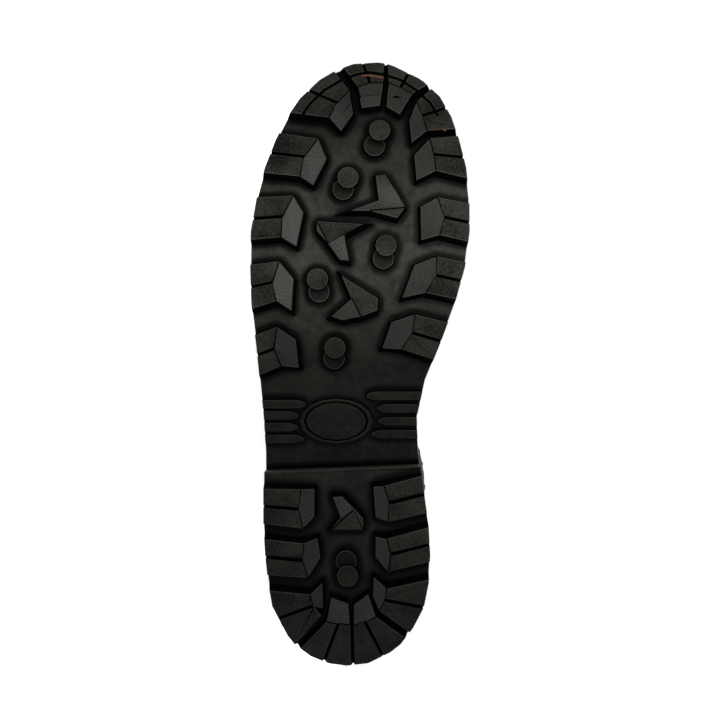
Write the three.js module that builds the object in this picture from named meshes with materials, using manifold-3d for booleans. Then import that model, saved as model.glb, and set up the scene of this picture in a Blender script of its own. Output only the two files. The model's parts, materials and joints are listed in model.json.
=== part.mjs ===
// A right-foot insulated lace-up work boot lying on its outer side.
// Lengths are in millimetres. The boot is drawn standing, with +X to its outer side, +Y to its toe and
// +Z up from the walking plane, and is then turned and settled onto the floor.
import * as THREE from "three";
import { mergeVertices } from "three/addons/utils/BufferGeometryUtils.js";
import Module from "manifold-3d";

const wasm = await Module();
wasm.setup();

// Main sizes of the sole
const SOLE_LENGTH = 310;
const BALL_WIDTH = 112;
const HEEL_HEIGHT = 31;
const FOREFOOT_HEIGHT = 14;
const TOE_SPRING = 12;
const PLATE_THICKNESS = 7.5;
const LUG_HEIGHT = 6.5;
const RIB_HEIGHT = 2.6;
const STUD_STEP = 2.4;
const STUD_RADIUS = 5.4;
const SIPE_WIDTH = 1.6;
const SIPE_DEPTH = 4.6;
const FACET_DROP = 2.6;
const STEEP_DRAFT = 1;
const GENTLE_DRAFT = 3.2;
const PLATE_STEP = 0.8;
const PLATE_EDGE = 5;
const STITCH_INSET = 6;
const STITCH_GROOVE = 1.5;

// Main sizes of the upper
const SHAFT_HEIGHT = 222;
const UPPER_WALL = 3.8;
const WELT_THICKNESS = 4;
const WELT_INSET = 0.6;
const INSOLE_THICKNESS = 5;
const TONGUE_THICKNESS = 4;
const OVERLAY_THICKNESS = 1.8;
const CUFF_THICKNESS = 5.5;
const THROAT_WIDTH = 22;
const EYELET_PAIRS = 7;
const EYELET_RADIUS = 4.6;
const EYELET_BORE = 2.4;
const EYELET_THICKNESS = 1.2;
const LACE_RADIUS = 1.7;
const LOOP_WIDTH = 18;
const LOOP_THICKNESS = 2;

// Gap left between pieces that touch on the real boot
const GAP = 0.3;

// Steps of the faceted surfaces
const RING_POINTS = 24;
const OUTLINE_STEPS = 25;
const FINE_STEPS = 400;
const STUD_SIDES = 12;
const EYELET_SIDES = 8;
const LACE_STEPS = 3;
const LOOP_STEPS = 16;
const HALVINGS = 30;
const OVAL_SIDES = 16;

const material = (color, roughness, metalness = 0) =>
  new THREE.MeshStandardMaterial({ color, roughness, metalness });
const RUBBER = material(0x2b2a28, 0.62);
const LEATHER = material(0x6b3f24, 0.55);
const TRIM = material(0x57321d, 0.6);
const TEXTILE = material(0x24211f, 0.9);
const WELT_LEATHER = material(0x3a2417, 0.6);
const BRASS = material(0xa58a55, 0.35, 0.9);
const FOAM = material(0x4a4642, 0.95);
const LACE_CORD = material(0x3b2a1a, 0.85);

// Turns rows of numbers into records with the named columns.
const table = (names, rows) =>
  rows.map((row) => Object.fromEntries(names.map((name, i) => [name, row[i]])));
const clamp = (value) => Math.min(1, Math.max(0, value));
const smooth = (value) => clamp(value) ** 2 * (3 - 2 * clamp(value));
const mix = (a, b, share) => a + (b - a) * share;

// A solid from a closed geometry, whichever way its faces are turned.
function solid(geometry) {
  const bare = geometry.clone();
  bare.deleteAttribute("normal");
  bare.deleteAttribute("uv");
  const merged = mergeVertices(bare, 1e-4);
  const vertProperties = new Float32Array(merged.attributes.position.array);
  const facing = (faces) =>
    new wasm.Manifold(new wasm.Mesh({ numProp: 3, vertProperties, triVerts: new Uint32Array(faces) }));
  const faces = merged.index.array;
  const body = facing(faces);
  return body.volume() > 0 ? body : facing(faces.slice().reverse());
}

// A geometry from a solid.
function geometryOf(body) {
  const data = body.getMesh();
  const geometry = new THREE.BufferGeometry();
  geometry.setAttribute(
    "position",
    new THREE.BufferAttribute(new Float32Array(data.vertProperties), 3),
  );
  geometry.setIndex(new THREE.BufferAttribute(new Uint32Array(data.triVerts), 1));
  geometry.computeVertexNormals();
  return geometry;
}

// A solid through rings of points, each ring with as many points, closed by a fan at both ends.
function loft(rings) {
  const count = rings[0].length;
  const points = rings.flat();
  const faces = [];
  for (let r = 0; r + 1 < rings.length; r++)
    for (let i = 0; i < count; i++) {
      const a = r * count + i;
      const b = r * count + ((i + 1) % count);
      faces.push(a, b, b + count, a, b + count, a + count);
    }
  for (const [ring, turn] of [
    [0, true],
    [rings.length - 1, false],
  ]) {
    const middle = new THREE.Vector3();
    rings[ring].forEach((point) => middle.addScaledVector(point, 1 / count));
    const hub = points.push(middle) - 1;
    for (let i = 0; i < count; i++) {
      const a = ring * count + i;
      const b = ring * count + ((i + 1) % count);
      faces.push(...(turn ? [b, a, hub] : [a, b, hub]));
    }
  }
  const geometry = new THREE.BufferGeometry().setFromPoints(points);
  geometry.setIndex(faces);
  return solid(geometry);
}

// A solid between a lower and an upper ring of as many points. Its upper face is a fan about a hub, if
// there is one, and is cut up like the lower face if not.
function frustum(low, high, hub) {
  const count = low.length;
  const cut = (ring) =>
    THREE.ShapeUtils.triangulateShape(ring.map((p) => new THREE.Vector2(p.x, p.y)), []);
  const points = [...low, ...high];
  const faces = [];
  for (let i = 0; i < count; i++) {
    const next = (i + 1) % count;
    faces.push(i, next, next + count, i, next + count, i + count);
    if (hub) faces.push(i + count, next + count, 2 * count);
  }
  cut(low).forEach(([a, b, c]) => faces.push(c, b, a));
  if (hub) points.push(hub);
  else cut(high).forEach(([a, b, c]) => faces.push(a + count, b + count, c + count));
  const geometry = new THREE.BufferGeometry().setFromPoints(points);
  geometry.setIndex(faces);
  return solid(geometry);
}

// A ring of plan points, turned counterclockwise, and the same ring at given heights.
const counterclockwise = (ring) => (THREE.ShapeUtils.area(ring) < 0 ? ring.slice().reverse() : ring);
const raised = (ring, height) => ring.map((p) => new THREE.Vector3(p.x, p.y, height(p.y, p)));

// A prism across the boot with an outline drawn from the side, as pairs of Y and Z.
function sidePrism(outline, halfWidth = BALL_WIDTH, middle = 0) {
  const shape = new THREE.Shape(outline.map(([y, z]) => new THREE.Vector2(y, z)));
  const geometry = new THREE.ExtrudeGeometry(shape, { depth: 2 * halfWidth, bevelEnabled: false });
  const basis = new THREE.Matrix4().makeBasis(
    new THREE.Vector3(0, 1, 0),
    new THREE.Vector3(0, 0, 1),
    new THREE.Vector3(1, 0, 0),
  );
  geometry.applyMatrix4(basis).translate(middle - halfWidth, 0, 0);
  return solid(geometry);
}

const join = (bodies) => bodies.reduce((all, body) => all.add(body));

// Half outlines of the sole: how far its outer and inner edges lie from the long axis, as shares of the
// ball width, at shares of the length from the back of the heel.
const OUTLINE = table(
  ["along", "outer", "inner"],
  [
    [0, 0.016, -0.016],
    [0.008, 0.136, 0.118],
    [0.028, 0.227, 0.209],
    [0.048, 0.286, 0.259],
    [0.087, 0.345, 0.327],
    [0.126, 0.368, 0.355],
    [0.205, 0.391, 0.364],
    [0.264, 0.395, 0.345],
    [0.323, 0.392, 0.322],
    [0.399, 0.4, 0.308],
    [0.44, 0.407, 0.325],
    [0.48, 0.418, 0.356],
    [0.52, 0.427, 0.404],
    [0.56, 0.438, 0.438],
    [0.599, 0.45, 0.482],
    [0.638, 0.452, 0.514],
    [0.677, 0.455, 0.532],
    [0.717, 0.45, 0.545],
    [0.756, 0.432, 0.545],
    [0.796, 0.405, 0.536],
    [0.836, 0.372, 0.521],
    [0.876, 0.325, 0.488],
    [0.916, 0.268, 0.45],
    [0.937, 0.228, 0.415],
    [0.958, 0.173, 0.356],
    [0.979, 0.095, 0.288],
    [1, -0.088, 0.088],
  ],
);

// Fine points of one side of the outline, from the back of the heel to the tip of the toe.
function sidePoints(sign, column, opposite) {
  const place = (row, name, way) =>
    new THREE.Vector3(way * row[name] * BALL_WIDTH, row.along * SOLE_LENGTH, 0);
  const points = [
    place(OUTLINE[1], opposite, -sign),
    ...OUTLINE.map((row) => place(row, column, sign)),
    place(OUTLINE[OUTLINE.length - 2], opposite, -sign),
  ];
  const curve = new THREE.CatmullRomCurve3(points, false, "centripetal");
  const first = 1 / (points.length - 1);
  const fine = [];
  for (let i = 0; i <= FINE_STEPS; i++)
    fine.push(curve.getPoint(mix(first, 1 - first, i / FINE_STEPS)));
  return fine;
}
const OUTER_SIDE = sidePoints(1, "outer", "inner");
const INNER_SIDE = sidePoints(-1, "inner", "outer");

// X of one side of the sole's outline at a place along the boot.
function edgeAt(side, y) {
  const next = side.findIndex((point) => point.y >= y);
  if (next <= 0) return side[next < 0 ? side.length - 1 : 0].x;
  const before = side[next - 1];
  return mix(before.x, side[next].x, (y - before.y) / (side[next].y - before.y));
}

// Closed outline drawn inside the sole's by an even margin, clockwise from the back of the heel.
function outlineRing(inset) {
  const levels = [];
  for (let i = 1; i < OUTLINE_STEPS; i++)
    levels.push((SOLE_LENGTH * (1 - Math.cos((Math.PI * i) / OUTLINE_STEPS))) / 2);
  const ring = [
    new THREE.Vector2(OUTER_SIDE[0].x, 0),
    ...levels.map((y) => new THREE.Vector2(edgeAt(INNER_SIDE, y), y)),
    new THREE.Vector2(OUTER_SIDE[FINE_STEPS].x, SOLE_LENGTH),
    ...levels.map((y) => new THREE.Vector2(edgeAt(OUTER_SIDE, y), y)).reverse(),
  ];
  return ring.map((point, i) => {
    const before = ring[(i + ring.length - 1) % ring.length];
    const after = ring[(i + 1) % ring.length];
    const along = after.clone().sub(before).normalize();
    return new THREE.Vector2(point.x + along.y * inset, point.y - along.x * inset);
  });
}

// A solid between stacked outlines. Each layer has its inset and a height that can change along Y.
function layered(layers) {
  const rings = layers.map(({ inset, height }) => raised(outlineRing(inset), height));
  const count = rings[0].length;
  const half = count / 2;
  const faces = [];
  for (let r = 0; r + 1 < rings.length; r++)
    for (let i = 0; i < count; i++) {
      const a = r * count + i;
      const b = r * count + ((i + 1) % count);
      faces.push(a, b + count, b, a, a + count, b + count);
    }
  const top = (rings.length - 1) * count;
  const strip = (a, b, c) => faces.push(a, b, c, top + a, top + c, top + b);
  strip(0, 1, count - 1);
  for (let i = 1; i + 1 < half; i++) {
    strip(i, i + 1, count - i - 1);
    strip(i, count - i - 1, count - i);
  }
  strip(half - 1, half, half + 1);
  const geometry = new THREE.BufferGeometry().setFromPoints(rings.flat());
  geometry.setIndex(faces);
  return solid(geometry);
}

// Height of the sole's upper face: level under the ball, raised to the heel seat and sprung at the toe.
const ARCH_START = 0.62;
const ARCH_RUN = 0.34;
const SPRING_START = 0.74;
const heelShare = (y) => smooth((ARCH_START - y / SOLE_LENGTH) / ARCH_RUN);
const springShare = (y) => Math.max(0, (y / SOLE_LENGTH - SPRING_START) / (1 - SPRING_START)) ** 2;
const soleTop = (y) =>
  FOREFOOT_HEIGHT + (HEEL_HEIGHT - FOREFOOT_HEIGHT) * heelShare(y) + TOE_SPRING * springShare(y);
const plateBottom = (y) => soleTop(y) - PLATE_THICKNESS;

// The walking face and the root of a lug: in one plane under the heel, and along the plate before it.
const HEEL_FRONT = 0.322;
const BREAST_SLANT = 0.014;
const underHeel = (y) => y < HEEL_FRONT * SOLE_LENGTH;
const lugRoot = (y) => (underHeel(y) ? LUG_HEIGHT : plateBottom(y));
const lugFace = (y) => lugRoot(y) - LUG_HEIGHT;
const ROOT_DEPTH = 1.2;

// A point of the plan from shares of the sole's length and of the ball width.
const planPoint = ([along, out]) => new THREE.Vector2(out * BALL_WIDTH, along * SOLE_LENGTH);

// Lugs. Each has an outer block from the rim to its crease and a facet that falls away inwards, and a
// narrow sipe from the rim to the crease's middle, which dents outwards. Places are shares along and out.
const LUGS = table(
  ["rimFront", "rimBack", "creaseFront", "creaseBack", "facetFront", "facetBack", "dent"],
  [
    // toe and outer side
    [[0.989, 0.028], [0.994, -0.156], [0.956, -0.036], [0.963, -0.151],
      [0.921, -0.055], [0.925, -0.137], 0.01],
    [[0.982, 0.074], [0.911, 0.27], [0.949, 0.005], [0.903, 0.096],
      [0.911, -0.013], [0.882, 0.041], 0.01],
    [[0.876, 0.32], [0.81, 0.391], [0.867, 0.146], [0.804, 0.228],
      [0.834, 0.109], [0.791, 0.168], 0.022],
    [[0.769, 0.418], [0.7, 0.445], [0.772, 0.259], [0.704, 0.314], [0.745, 0.214], [0.69, 0.245], 0.02],
    [[0.658, 0.445], [0.587, 0.441], [0.664, 0.323], [0.599, 0.336],
      [0.636, 0.259], [0.584, 0.268], 0.023],
    [[0.543, 0.429], [0.479, 0.404], [0.556, 0.333], [0.492, 0.316],
      [0.536, 0.251], [0.49, 0.238], 0.024],
    // toe and inner side
    [[0.992, -0.175], [0.959, -0.353], [0.963, -0.179], [0.944, -0.284],
      [0.923, -0.169], [0.91, -0.228], 0.004],
    [[0.952, -0.376], [0.884, -0.488], [0.93, -0.307], [0.881, -0.351],
      [0.899, -0.274], [0.862, -0.283], 0.004],
    [[0.871, -0.493], [0.801, -0.532], [0.867, -0.365], [0.814, -0.391],
      [0.84, -0.296], [0.799, -0.305], 0.004],
    [[0.759, -0.541], [0.697, -0.536], [0.769, -0.4], [0.708, -0.409],
      [0.754, -0.323], [0.7, -0.327], 0.027],
    [[0.663, -0.514], [0.602, -0.482], [0.672, -0.395], [0.613, -0.345],
      [0.658, -0.295], [0.605, -0.241], 0.024],
    [[0.564, -0.437], [0.503, -0.384], [0.577, -0.296], [0.52, -0.237],
      [0.564, -0.191], [0.522, -0.15], 0.02],
    // heel, outer side
    [[0.29, 0.391], [0.233, 0.391], [0.289, 0.223], [0.225, 0.214],
      [0.289, 0.164], [0.244, 0.164], 0.018],
    [[0.207, 0.386], [0.149, 0.373], [0.2, 0.209], [0.144, 0.191],
      [0.208, 0.15], [0.177, 0.136], 0.018],
    [[0.123, 0.364], [0.038, 0.241], [0.116, 0.182], [0.082, 0.132],
      [0.134, 0.127], [0.093, 0.123], 0.012],
    // heel, back
    [[0.028, 0.223], [0.002, -0.005], [0.072, 0.105], [0.067, 0], [0.11, 0.086], [0.1, 0.009], 0.002],
    [[0.003, -0.023], [0.044, -0.255], [0.066, -0.018], [0.08, -0.118],
      [0.098, -0.018], [0.115, -0.082], 0.002],
    // heel, inner side
    [[0.312, -0.332], [0.251, -0.35], [0.295, -0.155], [0.236, -0.173],
      [0.292, -0.109], [0.243, -0.118], 0.016],
    [[0.226, -0.35], [0.171, -0.364], [0.208, -0.168], [0.154, -0.173],
      [0.21, -0.118], [0.177, -0.118], 0.016],
    [[0.141, -0.359], [0.052, -0.282], [0.126, -0.168], [0.09, -0.132],
      [0.143, -0.109], [0.113, -0.105], 0.01],
  ],
);
const RIM_OVERRUN = 0.15;
const WAIST = new THREE.Vector2(0, 0.43 * SOLE_LENGTH);

// Moves each edge of a counterclockwise outline out by its draft, more where its wall faces the waist.
function spread(ring) {
  const centre = new THREE.Vector2();
  ring.forEach((point) => centre.addScaledVector(point, 1 / ring.length));
  const toWaist = WAIST.clone().sub(centre).normalize();
  const edges = ring.map((point, i) => {
    const along = ring[(i + 1) % ring.length].clone().sub(point).normalize();
    const out = new THREE.Vector2(along.y, -along.x);
    const draft = mix(STEEP_DRAFT, GENTLE_DRAFT, clamp(out.dot(toWaist)));
    return { start: point.clone().addScaledVector(out, draft), along };
  });
  return edges.map((edge, i) => {
    const before = edges[(i + ring.length - 1) % ring.length];
    const turn = before.along.cross(edge.along);
    if (Math.abs(turn) < 0.1) return edge.start.clone();
    const reach = edge.start.clone().sub(before.start).cross(edge.along) / turn;
    return before.start.clone().addScaledVector(before.along, reach);
  });
}

// One lug, with its foot buried in the plate, and the sipe that is cut into it.
function lugWithSipe(row) {
  const at = Object.fromEntries(
    Object.entries(row)
      .filter(([name]) => name !== "dent")
      .map(([name, share]) => [name, planPoint(share)]),
  );
  const rimFront = at.rimFront.clone().lerp(at.creaseFront, -RIM_OVERRUN);
  const rimBack = at.rimBack.clone().lerp(at.creaseBack, -RIM_OVERRUN);
  const middle = at.creaseFront.clone().lerp(at.creaseBack, 0.5);
  const rimMiddle = rimFront.clone().lerp(rimBack, 0.5);
  const outwards = rimMiddle.clone().sub(middle).normalize();
  middle.addScaledVector(outwards, row.dent * BALL_WIDTH);
  const crest = counterclockwise([
    rimFront, at.creaseFront, at.facetFront, at.facetBack, at.creaseBack, rimBack,
  ]);
  const fallen = (point) => (point === at.facetFront || point === at.facetBack ? FACET_DROP : 0);
  const body = frustum(
    raised(spread(crest), (y) => lugRoot(y) + ROOT_DEPTH),
    raised(crest, (y, point) => lugFace(y) + fallen(point)),
    new THREE.Vector3(middle.x, middle.y, lugFace(middle.y)),
  );
  const aside = new THREE.Vector2(-outwards.y, outwards.x).multiplyScalar(SIPE_WIDTH / 2);
  const end = rimMiddle.clone().addScaledVector(outwards, GENTLE_DRAFT);
  const slot = counterclockwise([
    middle.clone().add(aside), middle.clone().sub(aside), end.clone().sub(aside), end.clone().add(aside),
  ]);
  const sipe = frustum(
    raised(slot, (y) => lugFace(y) - LUG_HEIGHT),
    raised(slot, (y) => lugFace(y) + SIPE_DEPTH),
  );
  return { body, sipe };
}

// Studs in pairs, a high one that overlaps a low one.
const STUDS = table(
  ["high", "low"],
  [
    [[0.881, -0.135], [0.856, -0.112]],
    [[0.802, 0.009], [0.783, 0.032]],
    [[0.69, -0.164], [0.669, -0.152]],
    [[0.635, 0.148], [0.614, 0.141]],
    [[0.522, 0.069], [0.504, 0.073]],
    [[0.147, 0.011], [0.171, 0.018]],
  ],
);
function stud(place, drop) {
  const circle = (radius) =>
    Array.from({ length: STUD_SIDES }, (_, i) => {
      const angle = (2 * Math.PI * i) / STUD_SIDES;
      return planPoint(place).add(
        new THREE.Vector2(Math.cos(angle), Math.sin(angle)).multiplyScalar(radius),
      );
    });
  const middle = planPoint(place).y;
  return frustum(
    raised(circle(STUD_RADIUS + STEEP_DRAFT), () => lugRoot(middle) + ROOT_DEPTH),
    raised(circle(STUD_RADIUS), (y) => lugFace(y) + drop),
  );
}

// Bent studs: an outline whose two legs meet on a fold between two of its points.
const BENT_STUDS = table(
  ["outline", "fold"],
  [
    [
      [[0.805, -0.118], [0.807, -0.159], [0.776, -0.214], [0.753, -0.25], [0.736, -0.214], [0.748, -0.091],
        [0.748, -0.009], [0.764, -0.132]],
      [2, 7],
    ],
    [
      [[0.73, 0.15], [0.725, -0.059], [0.708, 0.027], [0.69, 0.018], [0.666, 0.005], [0.667, 0.045],
        [0.694, 0.1], [0.715, 0.15]],
      [2, 6],
    ],
    [
      [[0.64, 0.036], [0.603, -0.127], [0.584, -0.123], [0.574, -0.05], [0.568, 0.036], [0.574, 0.082],
        [0.603, -0.009]],
      [3, 6],
    ],
    [
      [[0.276, 0.077], [0.277, 0.036], [0.257, -0.018], [0.241, -0.059], [0.223, -0.059], [0.223, 0.082],
        [0.243, 0.041]],
      [2, 6],
    ],
  ],
);
function bentStud({ outline, fold: [first, second] }) {
  const ring = outline.map(planPoint);
  const ridge = [ring[first], ring[second]];
  const legs = [ring.slice(first, second + 1), [...ring.slice(second), ...ring.slice(0, first + 1)]];
  return join(
    legs.map((leg) => {
      const crest = counterclockwise(leg);
      return frustum(
        raised(spread(crest), (y) => lugRoot(y) + ROOT_DEPTH),
        raised(crest, (y, point) => lugFace(y) + (ridge.includes(point) ? 0 : STUD_STEP / 2)),
      );
    }),
  );
}

// Ribs of the waist, from both rims towards the oval plate.
const RIBS = table(
  ["front", "reach"],
  [
    [0.435, 0.208],
    [0.416, 0.24],
    [0.396, 0.246],
    [0.376, 0.218],
    [0.449, -0.078],
    [0.428, -0.128],
    [0.406, -0.133],
    [0.384, -0.101],
  ],
);
const RIB_WIDTH = 0.0138;
const RIB_TIP = 0.035;
function rib({ front, reach }) {
  const rim = Math.sign(reach) * 0.5;
  const shoulder = reach + Math.sign(reach) * RIB_TIP;
  const ring = counterclockwise(
    [
      [front, rim],
      [front, shoulder],
      [front - RIB_WIDTH * 0.3, reach],
      [front - RIB_WIDTH * 0.7, reach],
      [front - RIB_WIDTH, shoulder],
      [front - RIB_WIDTH, rim],
    ].map(planPoint),
  );
  return frustum(
    raised(ring, (y) => plateBottom(y) + ROOT_DEPTH),
    raised(ring, (y) => plateBottom(y) - RIB_HEIGHT),
  );
}

// Oval plate of the waist, with a fine groove inside its edge.
const OVAL = { along: 0.399, out: 0.065, halfAlong: 0.038, halfOut: 0.1685 };
const OVAL_HEIGHT = 1.8;
const OVAL_GROOVE = [0.9, 0.82];
const OVAL_GROOVE_FLOOR = 0.6;
function oval(share, from, to) {
  const ring = Array.from({ length: OVAL_SIDES }, (_, i) => {
    const angle = (2 * Math.PI * i) / OVAL_SIDES;
    return planPoint([
      OVAL.along + OVAL.halfAlong * share * Math.sin(angle),
      OVAL.out + OVAL.halfOut * share * Math.cos(angle),
    ]);
  });
  return frustum(
    raised(ring, (y) => plateBottom(y) - from),
    raised(ring, (y) => plateBottom(y) - to),
  );
}

// The plate, with its groove cut between two ovals from a depth up to clear of its face.
function ovalPlate() {
  const [outer, inner] = OVAL_GROOVE;
  const ring = oval(outer, OVAL_GROOVE_FLOOR, 2 * OVAL_HEIGHT).subtract(oval(inner, 0, 2 * OVAL_HEIGHT));
  return oval(1, -ROOT_DEPTH, OVAL_HEIGHT).subtract(ring);
}

// The whole outsole: a curved plate with a stepped side, the heel block, and everything that treads.
function outsole() {
  const flat = (z) => () => z;
  const plate = layered([
    { inset: 0, height: plateBottom },
    { inset: 0, height: (y) => plateBottom(y) + PLATE_EDGE },
    { inset: PLATE_STEP, height: (y) => plateBottom(y) + PLATE_EDGE },
    { inset: PLATE_STEP, height: soleTop },
  ]);
  const heelMiddle = (LUG_HEIGHT + HEEL_HEIGHT - PLATE_THICKNESS) / 2;
  const heelSides = layered([
    { inset: 0, height: flat(LUG_HEIGHT) },
    { inset: 0, height: flat(heelMiddle) },
    { inset: PLATE_STEP, height: flat(heelMiddle) },
    { inset: PLATE_STEP, height: flat(heelMiddle + PLATE_STEP) },
    { inset: 0, height: flat(heelMiddle + PLATE_STEP) },
    { inset: 0, height: flat(HEEL_HEIGHT - PLATE_THICKNESS + ROOT_DEPTH) },
  ]);
  const behindBreast = counterclockwise(
    [[HEEL_FRONT - BREAST_SLANT, 1], [HEEL_FRONT + BREAST_SLANT, -1], [-1, -1], [-1, 1]].map(planPoint),
  );
  const heelCut = frustum(
    raised(behindBreast, flat(-HEEL_HEIGHT)),
    raised(behindBreast, flat(HEEL_HEIGHT)),
  );
  const inside = layered([
    { inset: 0, height: flat(-HEEL_HEIGHT) },
    { inset: 0, height: flat(2 * HEEL_HEIGHT) },
  ]);
  const lugs = LUGS.map(lugWithSipe);
  const rimmed = join([...lugs.map(({ body }) => body), ...RIBS.map(rib)]).intersect(inside);
  const studs = STUDS.flatMap(({ high, low }) => [stud(high, 0), stud(low, STUD_STEP)]);
  const heel = heelSides.intersect(heelCut);
  const raisedParts = join([plate, heel, rimmed, ...studs, ...BENT_STUDS.map(bentStud), ovalPlate()]);
  return raisedParts.subtract(join([...lugs.map(({ sipe }) => sipe), stitchGroove()]));
}

// The groove that the welt's seam lies in, across the lugs of the toe.
const STITCH_FROM = 0.905;
function stitchGroove() {
  const wall = (inset) =>
    layered([
      { inset, height: (y) => lugFace(y) - LUG_HEIGHT },
      { inset, height: (y) => lugFace(y) + STITCH_GROOVE },
    ]);
  const ring = wall(STITCH_INSET - STITCH_GROOVE / 2).subtract(wall(STITCH_INSET + STITCH_GROOVE / 2));
  const corners = [
    [STITCH_FROM, -1],
    [2, -1],
    [2, 1],
    [STITCH_FROM, 1],
  ];
  const toe = sidePrism(corners.map(([along, rise]) => [along * SOLE_LENGTH, rise * SOLE_LENGTH]));
  return ring.intersect(toe);
}

// Sections of the foot form, from the toe tip over the instep and round the heel to the collar. Each lies
// in a plane across the boot, from a low or back point to a high or front one. Along is a share of the
// sole's length, rise a share of the shaft's height above the sole's upper face, centre and half shares
// of the ball width, and widest where on the way the section is widest. Blunt and round are the powers of
// its low and high ends, and lean is how far its high end leans to the outer side.
const SECTIONS = table(
  ["lowAlong", "lowRise", "highAlong", "highRise", "centre", "half", "widest", "blunt", "round", "lean"],
  [
    [0.98, -0.06, 0.98, 0.115, -0.09, 0.09, 0.6, 2.4, 2.3, 0],
    [0.971, -0.12, 0.971, 0.155, -0.09, 0.158, 0.62, 2.5, 2.4, 0],
    [0.955, -0.162, 0.955, 0.188, -0.091, 0.226, 0.65, 2.6, 2.5, 0],
    [0.929, -0.162, 0.929, 0.214, -0.092, 0.296, 0.62, 2.6, 2.5, 0],
    [0.893, -0.162, 0.893, 0.232, -0.084, 0.352, 0.59, 2.6, 2.5, -0.01],
    [0.845, -0.162, 0.845, 0.246, -0.074, 0.412, 0.57, 2.6, 2.4, -0.02],
    [0.784, -0.162, 0.784, 0.27, -0.066, 0.442, 0.54, 2.6, 2.3, -0.03],
    [0.716, -0.162, 0.716, 0.308, -0.048, 0.466, 0.49, 2.6, 2.2, -0.035],
    [0.655, -0.162, 0.655, 0.36, -0.03, 0.454, 0.45, 2.6, 2.1, -0.035],
    [0.58, -0.162, 0.61, 0.414, -0.004, 0.418, 0.42, 2.6, 2.05, -0.03],
    [0.477, -0.162, 0.568, 0.464, 0.022, 0.376, 0.42, 2.7, 2, -0.03],
    [0.355, -0.162, 0.531, 0.514, 0.032, 0.352, 0.43, 2.8, 2, -0.03],
    [0.226, -0.153, 0.497, 0.567, 0.024, 0.352, 0.42, 2.9, 2, -0.02],
    [0.103, -0.122, 0.468, 0.626, 0.014, 0.35, 0.42, 2.9, 2, -0.015],
    [0.018, -0.04, 0.448, 0.687, 0.01, 0.347, 0.42, 2.7, 2, -0.01],
    [0.002, 0.081, 0.437, 0.748, 0.006, 0.342, 0.44, 2.4, 2, 0],
    [0.004, 0.207, 0.431, 0.809, 0, 0.338, 0.46, 2.2, 2, 0],
    [0.015, 0.342, 0.426, 0.868, 0, 0.342, 0.47, 2.1, 2, 0],
    [0.026, 0.486, 0.424, 0.92, 0, 0.352, 0.49, 2.1, 2.05, 0],
    [0.029, 0.63, 0.424, 0.958, 0, 0.364, 0.5, 2.1, 2.1, 0],
    [0.024, 0.761, 0.426, 0.99, 0, 0.372, 0.5, 2.1, 2.1, 0],
    [0.019, 0.883, 0.427, 1.013, 0, 0.378, 0.5, 2.1, 2.1, 0],
    [0.013, 1, 0.432, 1.085, 0, 0.382, 0.5, 2.1, 2.1, 0],
  ],
);
const COLLAR_SECTION = SECTIONS.length - 2;
const TOE_SECTIONS = 5;

const signedPower = (value, power) => Math.sign(value) * Math.abs(value) ** power;

// The low and high points of a section and the way between them; between two sections, a blend of both.
function sectionAxis(section) {
  const before = SECTIONS[Math.min(Math.floor(section), SECTIONS.length - 1)];
  const after = SECTIONS[Math.min(Math.floor(section) + 1, SECTIONS.length - 1)];
  const share = section - Math.floor(section);
  const end = (row, name) => {
    const y = row[name + "Along"] * SOLE_LENGTH;
    return new THREE.Vector3(0, y, soleTop(y) + row[name + "Rise"] * SHAFT_HEIGHT);
  };
  const low = end(before, "low").lerp(end(after, "low"), share);
  const high = end(before, "high").lerp(end(after, "high"), share);
  return { low, high, way: high.clone().sub(low).normalize() };
}

// A point of the form: on a whole section, at an angle from its widest place on the outer side, where a
// quarter turn is its high end, and at an offset outwards.
function wholePoint(index, angle, offset) {
  const row = SECTIONS[index];
  const { low, high, way } = sectionAxis(index);
  const rise = Math.sin(angle);
  const power = 2 / (rise < 0 ? row.blunt : row.round);
  const climb = signedPower(rise, power);
  const share = row.widest + (rise < 0 ? row.widest : 1 - row.widest) * climb;
  const point = low.clone().lerp(high, share).addScaledVector(way, offset * climb);
  const side = signedPower(Math.cos(angle), power);
  point.x = (row.centre + row.lean * Math.max(0, climb)) * BALL_WIDTH;
  point.x += (row.half * BALL_WIDTH + offset) * side;
  point.y += offset * Math.max(0, 1 - index / TOE_SECTIONS);
  return point;
}
function formPoint(section, angle, offset) {
  const index = Math.min(Math.floor(section), SECTIONS.length - 2);
  return wholePoint(index, angle, offset).lerp(wholePoint(index + 1, angle, offset), section - index);
}

// The foot form as one closed solid, grown by an offset, up to a section.
function form(offset, last = SECTIONS.length - 1) {
  const rings = [];
  for (let index = 0; index <= last; index++)
    rings.push(
      Array.from({ length: RING_POINTS }, (_, i) =>
        wholePoint(index, (2 * Math.PI * i) / RING_POINTS, offset),
      ),
    );
  return loft(rings);
}
const shell = (inner, outer, last) => form(outer, last).subtract(form(inner));

// A prism over the front or back ridge between two sections, from inside the form to outside it.
function ridgePrism(from, to, inwards, outwards, halfWidth, end = "high") {
  const line = (reach) => {
    const points = [];
    const steps = Math.ceil(to - from);
    for (let i = 0; i <= steps; i++) {
      const axis = sectionAxis(mix(from, to, i / steps));
      const way = axis.way.multiplyScalar(end === "high" ? reach : -reach);
      points.push([axis[end].y + way.y, axis[end].z + way.z]);
    }
    return points;
  };
  return sidePrism([...line(-inwards), ...line(outwards).reverse()], halfWidth);
}

// Everything below a height above the sole's upper face.
function below(rise) {
  const steps = 30;
  const top = Array.from({ length: steps + 1 }, (_, i) => {
    const y = mix(-0.1, 1.1, i / steps) * SOLE_LENGTH;
    return [y, soleTop(y) + rise];
  });
  return sidePrism([...top, [1.1 * SOLE_LENGTH, -SHAFT_HEIGHT], [-0.1 * SOLE_LENGTH, -SHAFT_HEIGHT]]);
}

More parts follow.
